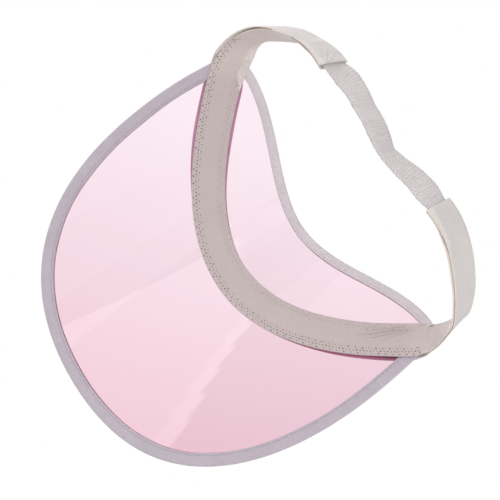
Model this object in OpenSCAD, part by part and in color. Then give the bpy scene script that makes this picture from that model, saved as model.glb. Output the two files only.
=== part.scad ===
// Clear sun visor: a curved plastic sheet with a taped edge, a two-layer headband sewn across it,
// and a ruched elastic that joins the headband's two tails behind the head.
// The middle of the head opening is the origin. +Z is up as worn, -Y is forward and +X is the wearer's left.

/* [Sheet] */
// Straight distance between the sheet's two corners under the headband
span = 196; // [180:1:210]
// How far the headband bows forward of the corners
bow = 75; // [65:1:85]
// How far behind the corners the sheet's cone comes to a point
cone_back = 110; // [100:1:120]
// Height of the cone's point above the headband
cone_rise = 86; // [78:1:96]
// Length of the brim from the middle of the headband to its edge
brim_depth = 110; // [95:1:125]
// Height of the forehead lobe from the middle of the headband to its edge
forehead_depth = 50; // [42:1:58]
// Fullness of the brim's outline: a higher value keeps the brim deep for longer
brim_fullness = 4; // [3:0.1:5]
// Taper of the brim's outline towards the corners
brim_taper = 1.3; // [1.1:0.1:1.6]
// Fullness of the forehead lobe's outline
forehead_fullness = 2.4; // [2:0.1:3]
// Taper of the forehead lobe's outline towards the corners
forehead_taper = 0.6; // [0.5:0.05:0.8]
// Thickness of the plastic sheet
sheet_t = 0.5; // [0.3:0.1:0.9]

/* [Edge binding] */
// Width of the brim's folded tape on each face of the sheet
brim_bind_w = 6.8; // [5:0.1:9]
// Width of the forehead lobe's folded tape on each face of the sheet
forehead_bind_w = 4.6; // [4:0.1:7]
// Thickness of the tape
bind_t = 0.4; // [0.3:0.05:0.6]

/* [Headband] */
// Width of the headband
band_w = 20; // [17:1:24]
// Thickness of each of the headband's two layers
band_t = 0.8; // [0.5:0.1:1.2]
// How much further than the lining the cover reaches at each edge
cover_over = 1.2; // [0.5:0.1:2]
// Space between the band's two layers at a corner, where the binding ends between them
corner_gap = 3.2; // [2.4:0.1:3.6]
// Space between the two layers of a free tail
tail_gap = 0.9; // [0.6:0.1:1.4]

/* [Tails] */
// Distance of each tail's end from the middle
tail_end_side = 48; // [42:1:54]
// Distance of each tail's end behind the corners
tail_end_back = 54; // [48:1:62]
// How far each tail's end drops below the corners
tail_end_drop = 17; // [10:1:24]
// How straight a tail leaves the corner
tail_reach = 13; // [9:1:18]
// How far a tail runs on along the back
tail_sweep = 42; // [34:1:48]
// Lean of a tail's end from the vertical, in degrees
tail_lean = 25; // [10:1:35]

/* [Fold] */
// Place of the fold along a tail, as a part of its run
fold_at = 0.22; // [0.18:0.01:0.3]
// Gap that the fold leaves in the middle of the band
fold_gap = 0.9; // [0.7:0.1:0.9]
// Extra room at the band's edges, where the fold opens most
fold_notch = 6; // [5:0.1:8]

/* [Elastic] */
// Width of the ruched sleeve
sleeve_w = 15; // [12:0.5:16]
// Wall of the sleeve
sleeve_t = 0.4; // [0.3:0.05:0.5]
// Height of the gathers above the sleeve's wall
gather_h = 0.9; // [0.4:0.1:1.4]
// Number of gathers
gathers = 48; // [30:1:56]
// Width of the woven elastic inside
tape_w = 11; // [8:0.5:11.5]
// Thickness of the woven elastic
tape_t = 0.8; // [0.6:0.1:0.9]
// Length of the elastic that is sewn into each tail, as a part of the tail's run
sewn_in = 0.13; // [0.1:0.01:0.18]
// How far the slack elastic dips towards the head
slack_dip = 5; // [0:0.5:8]
// Twist of the slack elastic at the dip, in degrees
slack_twist = 30; // [0:1:40]

/* [Thread] */
// Stitch length of the zigzag rows
zigzag_pitch = 4; // [3:0.1:5]
// Width of a zigzag row
zigzag_w = 3.2; // [2:0.1:4]
// Distance of a zigzag row from the band's edge
zigzag_inset = 1.2; // [1:0.1:2.5]
// Thickness of the thread
thread_d = 0.35; // [0.25:0.05:0.5]
// Width of the bar tack across a tail's end
tack_w = 12; // [8:0.5:15]
// Distance of the bar tack from the tail's end
tack_inset = 5; // [3:0.5:8]
// Distance of the binding's seam from the tape's inner edge
seam_inset = 1.4; // [1:0.1:2]

/* [Fit] */
// Clearance between pieces that lie on each other
clearance = 0.15; // [0.1:0.01:0.2]

/* [Hidden] */

// Stations along the front and along each tail, on both sides of the fold
front_steps = 72;
root_steps = 6;
tail_steps = 24;
bridge_steps = 48;
// The edges of the sheet run out this far past the corners, under the headband
run_out = 1.026;
// Parts of the half span between which the band climbs over the binding
climb_from = 0.76;
climb_to = 0.88;
// Part of the half span at which the binding's seam runs under the band
seam_to = 0.94;
// Part of the half span that the zigzag rows cover, and the band's length over the span
zigzag_to = 0.985;
band_per_span = 1.3;
// Parts of a tail's run after which its two layers close up, and over which they do so
slim_from = 0.12;
slim_over = 0.1;
// The layers open again over the elastic: how far before it they start, and over which length, in sewn-in lengths
tab_from = 1.8;
tab_over = 0.6;
// Parts of the elastic that lie inside each tail, and over which its gathers grow to their full height
elastic_lead = 0.12;
gather_over = 0.04;
// Part of the sleeve's half width at which its flat faces end
sleeve_flat = 0.9;
// The slack dips most beyond the middle, towards the wearer's right
slack_skew = 1.35;
// How straight the elastic leaves each tail
bridge_reach = 30;
// Length of the bar tack's stitches along the tail
tack_len = 2;

apex = [0, cone_back, cone_rise];
left = 1;
right = -1;
half_sheet = sheet_t / 2;
bind_in = half_sheet + clearance;
bind_out = bind_in + bind_t;
lie_flat = half_sheet + clearance;
lie_corner = max(corner_gap / 2, bind_out + clearance);
lie_slim = tail_gap / 2;
lie_tab = tape_t / 2 + clearance + sleeve_t + clearance;

function unit(v) = v / norm(v);
function mix(a, b, f) = a + (b - a) * f;
function ease(f) = let (c = min(1, max(0, f))) c * c * (3 - 2 * c);
function mirrored(p, side) = [side * p.x, p.y, p.z];

// The sheet is part of a cone. t runs from -1 to 1 between the corners, u along the cone from the band's middle
// to the brim, and k out of the sheet towards the head.
function ring(t) = [span / 2 * t, bow * (t * t - 1), 0];
function heading(t) = unit([span / 2, 2 * bow * t, 0]);
function slope(t) = unit(ring(t) - apex);
function facing(t) = unit(cross(heading(t), slope(t)));
function on_cone(t, u, k) = ring(t) + u * slope(t) + k * facing(t);
function front_t(i) = sin(90 * (2 * i / front_steps - 1));
function brim_edge(t) = brim_depth * pow(1 - pow(abs(t) / run_out, brim_fullness), brim_taper);
function forehead_edge(t) =
    -forehead_depth * pow(1 - pow(abs(t) / run_out, forehead_fullness), forehead_taper);

// A point inside the edge by a distance, measured square to the edge and brought back onto the cone
function edge_at(t, brim) = on_cone(t, brim ? brim_edge(t) : forehead_edge(t), 0);
function edge_run(t, brim) =
    let (d = 0.002, a = max(-1, t - d), b = min(1, t + d)) unit(edge_at(b, brim) - edge_at(a, brim));
function inward(t, brim) = (brim ? 1 : -1) * unit(cross(edge_run(t, brim), facing(t)));
function tape_point(t, brim, inset, k) =
    let (p = edge_at(t, brim) + inset * inward(t, brim))
    let (d = p - apex, s = -cone_rise / d.z, q = (apex + s * d).x / (span / 2))
    let (u = norm(d) - norm(ring(q) - apex))
    on_cone(q, u, k);

// A tail is a curve from the corner to its end, with the band turning from the sheet's slope to its own lean
tail_end = [tail_end_side, tail_end_back, -tail_end_drop];
end_heading = unit([-1, -0.065, -0.065]);
tail_a = ring(1) + tail_reach * heading(1);
tail_b = tail_end - tail_sweep * end_heading;
end_slope = [0, -sin(tail_lean), -cos(tail_lean)];
function tail_mid(s) =
    pow(1 - s, 3) * ring(1) + 3 * pow(1 - s, 2) * s * tail_a
    + 3 * (1 - s) * s * s * tail_b + pow(s, 3) * tail_end;
function tail_heading(s) =
    unit(pow(1 - s, 2) * (tail_a - ring(1)) + 2 * (1 - s) * s * (tail_b - tail_a)
    + s * s * (tail_end - tail_b));
function tail_slope(s) =
    let (w = mix(slope(1), end_slope, ease(s)), h = tail_heading(s)) unit(w - (w * h) * h);
function tail_facing(s) = unit(cross(tail_heading(s), tail_slope(s)));
function on_tail(s, u, k, side) =
    mirrored(tail_mid(s) + u * tail_slope(s) + k * tail_facing(s), side);
// Height of a band layer's inner face along a tail: over the binding's end, close together, then over the elastic
function lie_free(s) = mix(lie_corner, lie_slim, ease((s - slim_from) / slim_over));
function lie_along(s) =
    mix(lie_free(s), lie_tab, ease((s - 1 + tab_from * sewn_in) / (tab_over * sewn_in)));
function lie_front(t) = mix(lie_flat, lie_corner, ease((abs(t) - climb_from) / (climb_to - climb_from)));
tail_run = norm(tail_a - ring(1)) + norm(tail_b - tail_a) + norm(tail_end - tail_b);

// The elastic crosses from the left tail to the right one, with a slack dip
bridge_a = tail_end + bridge_reach * end_heading;
function bridge_dip(f) = pow(sin(180 * pow(f, slack_skew)), 2);
function bridge_mid(f) =
    pow(1 - f, 3) * tail_end + 3 * pow(1 - f, 2) * f * bridge_a
    + 3 * (1 - f) * f * f * mirrored(bridge_a, right) + pow(f, 3) * mirrored(tail_end, right)
    - [0, slack_dip * bridge_dip(f), 0];
function bridge_heading(f) =
    let (d = 0.002, a = max(0, f - d), b = min(1, f + d)) unit(bridge_mid(b) - bridge_mid(a));
function bridge_slope(f) =
    let (w = mix(tail_slope(1), mirrored(tail_slope(1), right), f), h = bridge_heading(f))
    let (flat = unit(w - (w * h) * h), a = slack_twist * bridge_dip(f))
    cos(a) * flat + sin(a) * cross(h, flat);
// A station of the elastic: its middle, its slope and its facing. It starts and ends inside the tails.
function elastic_tail(s, side) =
    [mirrored(tail_mid(s), side), mirrored(tail_slope(s), side), mirrored(tail_facing(s), side)];
function elastic_bridge(f) =
    [bridge_mid(f), bridge_slope(f), unit(cross(bridge_heading(f), bridge_slope(f)))];
function elastic_at(f) =
    let (lead = elastic_lead)
    f < lead ? elastic_tail(mix(1 - sewn_in, 1, f / lead), left)
    : f > 1 - lead ? elastic_tail(mix(1 - sewn_in, 1, (1 - f) / lead), right)
    : elastic_bridge((f - lead) / (1 - 2 * lead));
function elastic_point(f, u, k) = let (e = elastic_at(f)) e[0] + u * e[1] + k * e[2];
// The gathers are full between the tails and flat inside them
function gather_share(f) =
    ease((f - elastic_lead) / gather_over) * ease((1 - elastic_lead - f) / gather_over);

// A closed solid between two grids of points that match row by row
module slab(top, bottom) {
    rows = len(top);
    cols = len(top[0]);
    function at(s, i, j) = (s * rows + i) * cols + j;
    function quad(a, b, c, d) = [[a, b, c], [a, c, d]];
    skin = [for (i = [0:rows - 2], j = [0:cols - 2]) each concat(
        quad(at(0, i, j), at(0, i + 1, j), at(0, i + 1, j + 1), at(0, i, j + 1)),
        quad(at(1, i, j), at(1, i, j + 1), at(1, i + 1, j + 1), at(1, i + 1, j)))];
    sides = [for (i = [0:rows - 2]) each concat(
        quad(at(0, i, 0), at(1, i, 0), at(1, i + 1, 0), at(0, i + 1, 0)),
        quad(at(0, i, cols - 1), at(0, i + 1, cols - 1), at(1, i + 1, cols - 1), at(1, i, cols - 1)))];
    ends = [for (j = [0:cols - 2]) each concat(
        quad(at(0, 0, j), at(0, 0, j + 1), at(1, 0, j + 1), at(1, 0, j)),
        quad(at(0, rows - 1, j), at(1, rows - 1, j), at(1, rows - 1, j + 1), at(0, rows - 1, j + 1)))];
    polyhedron(points = [for (grid = [top, bottom], row = grid) each row],
        faces = concat(skin, sides, ends), convexity = 10);
}

// A closed wall between an outer and an inner tube, each a list of closed loops that match
module sleeve_wall(outer, inner) {
    rows = len(outer);
    cols = len(outer[0]);
    function at(s, i, j) = (s * rows + i) * cols + j % cols;
    function quad(a, b, c, d) = [[a, b, c], [a, c, d]];
    skin = [for (i = [0:rows - 2], j = [0:cols - 1]) each concat(
        quad(at(0, i, j), at(0, i + 1, j), at(0, i + 1, j + 1), at(0, i, j + 1)),
        quad(at(1, i, j), at(1, i, j + 1), at(1, i + 1, j + 1), at(1, i + 1, j)))];
    ends = [for (j = [0:cols - 1]) each concat(
        quad(at(0, 0, j), at(0, 0, j + 1), at(1, 0, j + 1), at(1, 0, j)),
        quad(at(0, rows - 1, j), at(1, rows - 1, j), at(1, rows - 1, j + 1), at(0, rows - 1, j + 1)))];
    polyhedron(points = [for (tube = [outer, inner], loop = tube) each loop],
        faces = concat(skin, ends), convexity = 10);
}

module visor_sheet() {
    function face(k) = [for (i = [0:front_steps]) let (t = front_t(i))
        [on_cone(t, forehead_edge(t), k), on_cone(t, brim_edge(t), k)]];
    color("#f3cfdc", 0.5) slab(face(half_sheet), face(-half_sheet));
}

// Folded tape round one edge: down one face, round the edge and up the other face
function bind_w(brim) = brim ? brim_bind_w : forehead_bind_w;
module binding(brim) {
    w = bind_w(brim);
    function fold(t, k, over) = [
        tape_point(t, brim, w, k), tape_point(t, brim, w / 2, k), tape_point(t, brim, 0, k),
        tape_point(t, brim, -over, k / 2), tape_point(t, brim, -over, -k / 2),
        tape_point(t, brim, 0, -k), tape_point(t, brim, w / 2, -k), tape_point(t, brim, w, -k)];
    outside = [for (i = [0:front_steps]) fold(front_t(i), bind_out, clearance + bind_t)];
    inside = [for (i = [0:front_steps]) fold(front_t(i), bind_in, clearance)];
    color("#c6bdc8")
    if (brim) slab(outside, inside);
    else slab(inside, outside);
}

// The row of thread that closes one folded tape, on the face towards the head
module seam(brim) {
    inset = bind_w(brim) - seam_inset;
    rise = bind_out + clearance;
    function face(k) = [for (i = [0:front_steps]) let (t = seam_to * front_t(i))
        [for (c = [0.5, -0.5]) tape_point(t, brim, inset + c * thread_d, k)]];
    color("#b3a9b6")
    if (brim) slab(face(rise + thread_d), face(rise));
    else slab(face(rise), face(rise + thread_d));
}

module brim_seam() { seam(true); }

module forehead_seam() { seam(false); }

module brim_binding() { binding(true); }

module forehead_binding() { binding(false); }

// One layer of the band across the sheet and on to the folds. layer is 1 for the lining and -1 for the cover.
function layer_w(layer) = layer > 0 ? band_w : band_w + 2 * cover_over;
module band_layer(layer) {
    cols = [-0.5, 0, 0.5];
    fold_s = fold_at - fold_gap / tail_run / 2;
    function across(i, lift) = let (t = front_t(i))
        [for (c = cols) on_cone(t, c * layer_w(layer), layer * (lie_front(t) + lift))];
    function root(i, lift, end) = let (s = fold_s * i / root_steps)
        [for (c = cols) on_tail(s, c * layer_w(layer), layer * (lie_along(s) + lift), end)];
    function face(lift) = concat(
        [for (i = [root_steps:-1:1]) root(i, lift, right)],
        [for (i = [0:front_steps]) across(i, lift)],
        [for (i = [1:root_steps]) root(i, lift, left)]);
    near = face(layer > 0 ? band_t : 0);
    far = face(layer > 0 ? 0 : band_t);
    slab(near, far);
}

module band_lining() { color("#c5bbb7") band_layer(1); }

module band_cover() { color("#d6d0cd") band_layer(-1); }

// One layer of a tail, from the fold to the tail's end. The notch at the fold leaves room for it to turn.
module tail_layer(side, layer) {
    cols = [-0.5, 0, 0.5];
    function start(c) = fold_at + (fold_gap / 2 + 2 * fold_notch * abs(c)) / tail_run;
    function point(s, c, lift) = on_tail(s, c * layer_w(layer), layer * (lie_along(s) + lift), side);
    function face(lift) = [for (i = [0:tail_steps])
        [for (c = cols) point(mix(start(c), 1, i / tail_steps), c, lift)]];
    near = face(band_t);
    far = face(0);
    if (side * layer > 0) slab(near, far);
    else slab(far, near);
}

module left_tail_lining() { color("#cbc3c0") tail_layer(left, 1); }

module left_tail_cover() { color("#d6d0cd") tail_layer(left, -1); }

module right_tail_lining() { color("#cbc3c0") tail_layer(right, 1); }

module right_tail_cover() { color("#d6d0cd") tail_layer(right, -1); }

// A zigzag row of thread on the lining, between the corners
module zigzag(edge) {
    row_u = edge * (band_w / 2 - zigzag_inset - zigzag_w / 2);
    stitches = 2 * round(span * band_per_span / zigzag_pitch);
    rise = band_t + clearance;
    function stitch(i, lift) = let (t = zigzag_to * mix(-1, 1, i / stitches), swing = (i % 2 - 0.5) * zigzag_w)
        [for (c = [-1, 1]) on_cone(t, row_u + swing + c * thread_d, rise + lie_front(t) + lift)];
    slab([for (i = [0:stitches]) stitch(i, thread_d)], [for (i = [0:stitches]) stitch(i, 0)]);
}

module brim_zigzag() { color("#8d827e") zigzag(1); }

module forehead_zigzag() { color("#c9c0bc") zigzag(-1); }

// A short block of stitches across a tail's end, on the lining
module bar_tack(side) {
    s_end = 1 - tack_inset / tail_run;
    s_start = s_end - tack_len / tail_run;
    rise = lie_tab + band_t + clearance;
    function face(k) = [for (i = [0:2]) [for (c = [-1, 1])
        on_tail(mix(s_start, s_end, i / 2), c * tack_w / 2, k, side)]];
    if (side > 0) slab(face(rise + thread_d), face(rise));
    else slab(face(rise), face(rise + thread_d));
}

module left_bar_tack() { color("#bdb4b0") bar_tack(left); }

module right_bar_tack() { color("#bdb4b0") bar_tack(right); }

module elastic_sleeve() {
    rings = 2 * gathers;
    hole_w = (tape_w / 2 + clearance) / sleeve_flat;
    hole_h = tape_t / 2 + clearance;
    function loop(f, w, h) = [
        elastic_point(f, w, 0), elastic_point(f, sleeve_flat * w, h), elastic_point(f, 0, h),
        elastic_point(f, -sleeve_flat * w, h), elastic_point(f, -w, 0), elastic_point(f, -sleeve_flat * w, -h),
        elastic_point(f, 0, -h), elastic_point(f, sleeve_flat * w, -h)];
    function crest(i) = (i % 2 == 0 ? 0 : gather_h) * gather_share(i / rings);
    outer = [for (i = [0:rings]) let (f = i / rings)
        loop(f, sleeve_w / 2 + crest(i) / 2, hole_h + sleeve_t + crest(i))];
    inner = [for (i = [0:rings]) loop(i / rings, hole_w, hole_h)];
    color("#d6cfd2") sleeve_wall(outer, inner);
}

module elastic_tape() {
    function face(k) = [for (i = [0:bridge_steps]) [for (c = [-1, 1])
        elastic_point(i / bridge_steps, c * tape_w / 2, k)]];
    color("#e8e4e2") slab(face(tape_t / 2), face(-tape_t / 2));
}

visor_sheet();
brim_binding();
forehead_binding();
band_lining();
band_cover();
brim_seam();
forehead_seam();
brim_zigzag();
forehead_zigzag();
left_tail_lining();
left_tail_cover();
right_tail_lining();
right_tail_cover();
left_bar_tack();
right_bar_tack();
elastic_sleeve();
elastic_tape();
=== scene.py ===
"""Clear sun visor with a taped edge, a sewn two-layer headband and a ruched elastic, over its CAD frame."""

import math

import bmesh
import bpy
import numpy as np
from bpy.props import FloatProperty, FloatVectorProperty, IntProperty, PointerProperty
from mathutils import Matrix, Vector


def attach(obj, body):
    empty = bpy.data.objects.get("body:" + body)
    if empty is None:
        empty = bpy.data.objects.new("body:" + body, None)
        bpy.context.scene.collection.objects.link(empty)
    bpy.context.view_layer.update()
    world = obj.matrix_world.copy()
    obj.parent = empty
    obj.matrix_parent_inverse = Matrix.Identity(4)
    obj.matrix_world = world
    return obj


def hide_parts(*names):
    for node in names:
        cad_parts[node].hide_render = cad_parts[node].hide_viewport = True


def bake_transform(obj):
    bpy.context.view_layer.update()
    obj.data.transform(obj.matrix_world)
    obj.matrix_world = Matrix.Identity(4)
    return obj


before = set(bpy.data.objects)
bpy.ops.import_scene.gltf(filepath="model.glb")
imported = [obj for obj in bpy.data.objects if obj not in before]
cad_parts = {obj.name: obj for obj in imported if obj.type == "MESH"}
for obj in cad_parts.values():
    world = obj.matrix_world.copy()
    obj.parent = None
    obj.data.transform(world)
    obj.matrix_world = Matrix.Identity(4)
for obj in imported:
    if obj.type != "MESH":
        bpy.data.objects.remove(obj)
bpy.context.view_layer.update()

bl_info = {
    "name": "Clear Sun Visor",
    "version": (1, 0, 0),
    "blender": (4, 5, 0),
    "location": "View3D > Sidebar > Visor",
    "description": "Builds a clear sun visor with its binding, headband, elastic and stitching",
    "category": "Add Mesh",
}

MM = 0.001


def length(name, description, millimetres):
    """A length property whose default is given in millimetres."""
    return FloatProperty(name=name, description=description, default=millimetres * MM, min=0.0,
                         precision=5, unit="LENGTH")


def colour(name, description, hex_code):
    """A colour property whose default is a display colour written as six hex digits."""
    return FloatVectorProperty(name=name, description=description, subtype="COLOR", size=3, min=0.0, max=1.0,
                               default=linear(hex_code))


def linear(hex_code):
    """The linear colour of six hex digits."""
    shown = [int(hex_code[i:i + 2], 16) / 255 for i in (0, 2, 4)]
    return tuple(c / 12.92 if c <= 0.04045 else ((c + 0.055) / 1.055) ** 2.4 for c in shown)


class VisorSizes(bpy.types.PropertyGroup):
    """Sizes of the visor, as the CAD frame has them."""

    span: length("Span", "Distance between the sheet's two corners", 196)
    bow: length("Bow", "How far the headband bows forward of the corners", 75)
    cone_back: length("Cone back", "How far behind the corners the sheet's cone comes to a point", 110)
    cone_rise: length("Cone rise", "Height of the cone's point above the headband", 86)
    brim_depth: length("Brim depth", "Length of the brim from the band's middle", 110)
    forehead_depth: length("Forehead depth", "Height of the forehead lobe from the band's middle", 50)
    sheet_t: length("Sheet thickness", "Thickness of the plastic sheet", 0.5)
    brim_bind_w: length("Brim tape", "Width of the brim's folded tape on each face", 6.8)
    forehead_bind_w: length("Forehead tape", "Width of the forehead lobe's folded tape on each face", 4.6)
    bind_t: length("Binding thickness", "Thickness of the folded tape", 0.4)
    band_w: length("Band width", "Width of the headband", 20)
    band_t: length("Band thickness", "Thickness of each layer of the headband", 0.8)
    sleeve_w: length("Sleeve width", "Width of the ruched elastic", 15)
    tape_w: length("Elastic width", "Width of the woven elastic inside the sleeve", 11)
    tape_t: length("Elastic thickness", "Thickness of the woven elastic", 0.8)
    gather_h: length("Gather height", "Height of the sleeve's gathers", 0.34)
    zigzag_pitch: length("Zigzag pitch", "Length of one zigzag along the band", 4.0)
    zigzag_w: length("Zigzag width", "Width of a zigzag row", 3.2)
    zigzag_inset: length("Zigzag inset", "Distance of a zigzag row from the band's edge", 1.2)
    thread_d: length("Thread", "Thickness of the sewing thread", 0.2)
    seam_pitch: length("Seam stitch", "Stitch length of the binding's seam", 2.6)
    gathers: IntProperty(name="Gathers", description="Number of gathers in the sleeve", default=74,
                         min=10, max=90)


class VisorColours(bpy.types.PropertyGroup):
    """Colours of the visor's pieces."""

    sheet: colour("Deep tint", "Tint of the clear plastic at the brim's front", "EABFCE")
    # The deep tint is the plastic's own; the pale tint is painted light on the sheet
    sheet_pale: colour("Pale tint", "Tint of the clear plastic at its palest", "F7E7EF")
    binding: colour("Brim tape", "Folded tape round the brim", "C2B7C1")
    pale_binding: colour("Forehead tape", "Folded tape round the forehead lobe", "DBD1D6")
    lining: colour("Lining", "Inner layer of the headband", "C7B9B7")
    # The tails' paler lining is painted light, where the tails turn to the light
    lining_ends: colour("Lining ends", "Paler lining on the tails", "E0D4D0")
    cover: colour("Cover", "Outer layer of the headband", "DED7D6")
    # The pale edges of the tails are a painted highlight, where the edges catch the light
    hem: colour("Hem", "Edges of the tails", "E5D9D0")
    turned: colour("Turned edge", "The lining's edge that is turned over at the left corner", "E1D7D2")
    # Deep pink painted on the cover's face against the plastic: painted shade between the band and the sheet
    stained: colour("Stained cover", "The cover's face against the plastic, which takes up its dye", "C487AC")
    sleeve: colour("Sleeve", "Ruched elastic", "DAD3D4")
    tape: colour("Elastic", "Woven elastic inside the sleeve", "E6E1DF")
    thread: colour("Thread", "Sewing thread of the band", "CCC1BE")
    hole: colour("Needle holes", "Shade inside the brim row's needle holes", "54494A")
    faint_hole: colour("Faint holes", "Shade inside the forehead row's needle holes", "B09A9A")
    seam: colour("Tape thread", "Sewing thread of the brim's tape", "B3A9B6")
    pale_seam: colour("Pale tape thread", "Sewing thread of the forehead lobe's tape", "D2C9CB")


def unit(v):
    """Unit vectors along the last axis."""
    return v / np.linalg.norm(v, axis=-1, keepdims=True)


def ease(f):
    """A smooth step from 0 to 1."""
    c = np.clip(f, 0, 1)
    return c * c * (3 - 2 * c)


def column(values):
    """Values as a column, to scale rows of vectors."""
    return np.asarray(values, float)[..., None]


def flip_x(points):
    """The mirror image across the middle."""
    return points * np.array([-1.0, 1.0, 1.0])


def crowded(count):
    """Values from -1 to 1 that crowd towards both ends."""
    return np.sin(np.linspace(-1, 1, count) * math.pi / 2)


def bump(at, middle, width):
    """A smooth bump of height 1."""
    return np.exp(-((at - middle) / width) ** 2)


def between(at, start, rise, end, fall):
    """Goes from 0 to 1 over a rise after the start, and back to 0 over a fall before the end."""
    return ease((at - start) / rise) * ease((end - at) / fall)


def lengths(points):
    """The length along a line of points, up to each of them."""
    return np.concatenate([[0], np.cumsum(np.linalg.norm(np.diff(points, axis=0), axis=1))])


def bezier(points, c):
    """Places on a cubic curve, for c from 0 to 1."""
    p0, p1, p2, p3 = points
    return (1 - c) ** 3 * p0 + 3 * (1 - c) ** 2 * c * p1 + 3 * (1 - c) * c * c * p2 + c ** 3 * p3


def through(knots, values, at):
    """A smooth curve through values at knots."""
    knots, values = np.asarray(knots, float), np.asarray(values, float)
    rise = np.gradient(values, knots)
    i = np.clip(np.searchsorted(knots, at, side="right") - 1, 0, len(knots) - 2)
    step = knots[i + 1] - knots[i]
    f = (at - knots[i]) / step
    held = (1 + 2 * f) * (1 - f) ** 2 * values[i] + f * f * (3 - 2 * f) * values[i + 1]
    return held + step * (f * (1 - f) ** 2 * rise[i] + f * f * (f - 1) * rise[i + 1])


class VisorShape:
    """The curves and surfaces that all pieces share: a cone for the sheet, a band along it and two tails."""

    # Where both lobes' edges would run out past the corners, in t, and how full and how tapered each lobe is
    RUN_OUT = 1.026
    BRIM_FULLNESS, BRIM_TAPER = 4.0, 1.3
    FOREHEAD_FULLNESS, FOREHEAD_TAPER = 2.4, 0.6
    # Small gap between layers, and a small step for finding the way of a curve
    CLEAR = 0.15 * MM
    NUDGE = 0.002
    # Where in t the band climbs onto the tape's ends, how high it lies there, and how low and soon behind
    CLIMB = (0.76, 0.88)
    LIE_CORNER, LIE_SLIM, SLIM_OVER = 1.0 * MM, 0.06 * MM, 0.12
    # The brim's left corner is fuller: by how much, at which t, and over which stretch of t
    LEFT_FULLER, LEFT_FULL_AT, LEFT_FULL_OVER = 4.0 * MM, 0.98, 0.10
    # Stations along a tail, and there: each tail's turn, how far the left one opens, and each tail's bow
    TAIL_AT = (0.0, 0.12, 0.25, 0.38, 0.5, 0.65, 0.82, 1.0)
    LEFT_TURN = (0.0, 4.0, 12.4, 13.2, 3.6, -8.5, -23.0, -26.7)
    RIGHT_TURN = (0.0, 7.8, 12.0, 19.5, 17.6, 6.5, -12.6, -26.7)
    LEFT_OPEN = (0.0, 0.0, 0.0, 11.0, 20.0, 20.0, 10.0, 0.0)
    LEFT_BOW = ((0.0, 0.0, 0.0), (-0.6, 0.3, 0.3), (1.2, 0.3, -0.2), (2.4, 0.2, -0.6), (1.8, 0.0, -0.5),
                (-0.6, -0.3, 0.1), (-2.5, -0.5, 0.5), (0.0, 0.0, 0.0))
    RIGHT_BOW = ((0.0, 0.0, 0.0), (0.2, -1.5, -0.7), (-1.0, 0.2, 0.4), (-3.9, 0.3, 1.3), (-1.5, 0.9, 0.8),
                 (0.3, -0.2, -0.1), (0.3, -0.6, -0.4), (0.0, 0.0, 0.0))
    # How far the mouth of each tail's end stands open, and over which share of the tail
    MOUTH, MOUTH_LONG = 0.5 * MM, 0.04
    # Stations along the band's front and a tail, and their even spacing after that
    FRONT_STATIONS, TAIL_STATIONS, STATION = 400, 240, 0.6 * MM
    # How the bend at the corners is softened, and over which stretch
    CORNER_SOFT, CORNER_OVER = 5 * MM, 14 * MM
    # The left tail's end, the way in which the elastic leaves it, and how far the curves reach
    TAIL_END = np.array([48.0, 54.0, -17.0]) * MM
    END_WAY = (-1.0, -0.065, -0.065)
    TAIL_REACH, TAIL_SWEEP, BRIDGE_REACH = 13 * MM, 42 * MM, 30 * MM
    # Share of a tail that holds the elastic, and in shares of that, where and how fast the layers open for it
    SEWN_IN, TAB_FROM, TAB_RISE = 0.13, 1.8, 0.6
    # Share of the elastic's stations inside a tail, the share where its gathers begin, and the sleeve's wall
    LEAD, EMERGE, SLEEVE_T = 0.12, 0.04, 0.4 * MM
    # Stations along the elastic from the left tail to the right one, and there: how far it strays and turns
    BRIDGE_AT = (0.0, 0.1, 0.2, 0.3, 0.4, 0.5, 0.6, 0.7, 0.8, 0.9, 1.0)
    STRAY_WAY = np.array([-0.545, 0.694, 0.470])
    BRIDGE_STRAY = (0.0, 2.9, 3.4, 2.1, 1.3, -0.9, -3.4, -2.5, -0.1, -0.2, 0.0)
    BRIDGE_TURN = (0.0, 14.0, 8.0, 3.0, 2.5, 0.0, -6.5, 0.5, 9.5, 14.0, 0.0)

    def __init__(self, sizes):
        self.z = sizes
        self.apex = np.array([0.0, sizes.cone_back, sizes.cone_rise])
        self.end_heading = unit(np.array(self.END_WAY))
        corner = self.ring(np.array(1.0))
        self.tail_points = np.stack([
            corner, corner + self.TAIL_REACH * self.heading(np.array(1.0)),
            self.TAIL_END - self.TAIL_SWEEP * self.end_heading, self.TAIL_END])
        self.lie_flat = sizes.sheet_t / 2 + self.CLEAR
        self.lie_tab = sizes.tape_t / 2 + self.SLEEVE_T + 2 * self.CLEAR

    def ring(self, t):
        """The band's middle on the sheet, for t from the right corner to the left one."""
        return np.stack([self.z.span / 2 * t, self.z.bow * (t * t - 1), 0 * t], -1)

    def heading(self, t):
        """The way along the ring."""
        return unit(np.stack([self.z.span / 2 + 0 * t, 2 * self.z.bow * t, 0 * t], -1))

    def slope(self, t):
        """The way down the cone, towards the brim."""
        return unit(self.ring(t) - self.apex)

    def facing(self, t):
        """The way out of the sheet, towards the head."""
        return unit(np.cross(self.heading(t), self.slope(t)))

    def on_cone(self, t, u, k):
        """Points at a distance down the cone from the ring, and at a height over the sheet's middle."""
        return self.ring(t) + column(u) * self.slope(t) + column(k) * self.facing(t)

    def edge(self, t, brim):
        """How far the sheet's edge lies from the band's middle, along the cone."""
        if brim:
            fuller = self.LEFT_FULLER * bump(t, self.LEFT_FULL_AT, self.LEFT_FULL_OVER)
            fall = (1 - (np.abs(t) / self.RUN_OUT) ** self.BRIM_FULLNESS) ** self.BRIM_TAPER
            return self.z.brim_depth * fall + fuller
        fall = (1 - (np.abs(t) / self.RUN_OUT) ** self.FOREHEAD_FULLNESS) ** self.FOREHEAD_TAPER
        return -self.z.forehead_depth * fall

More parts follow.
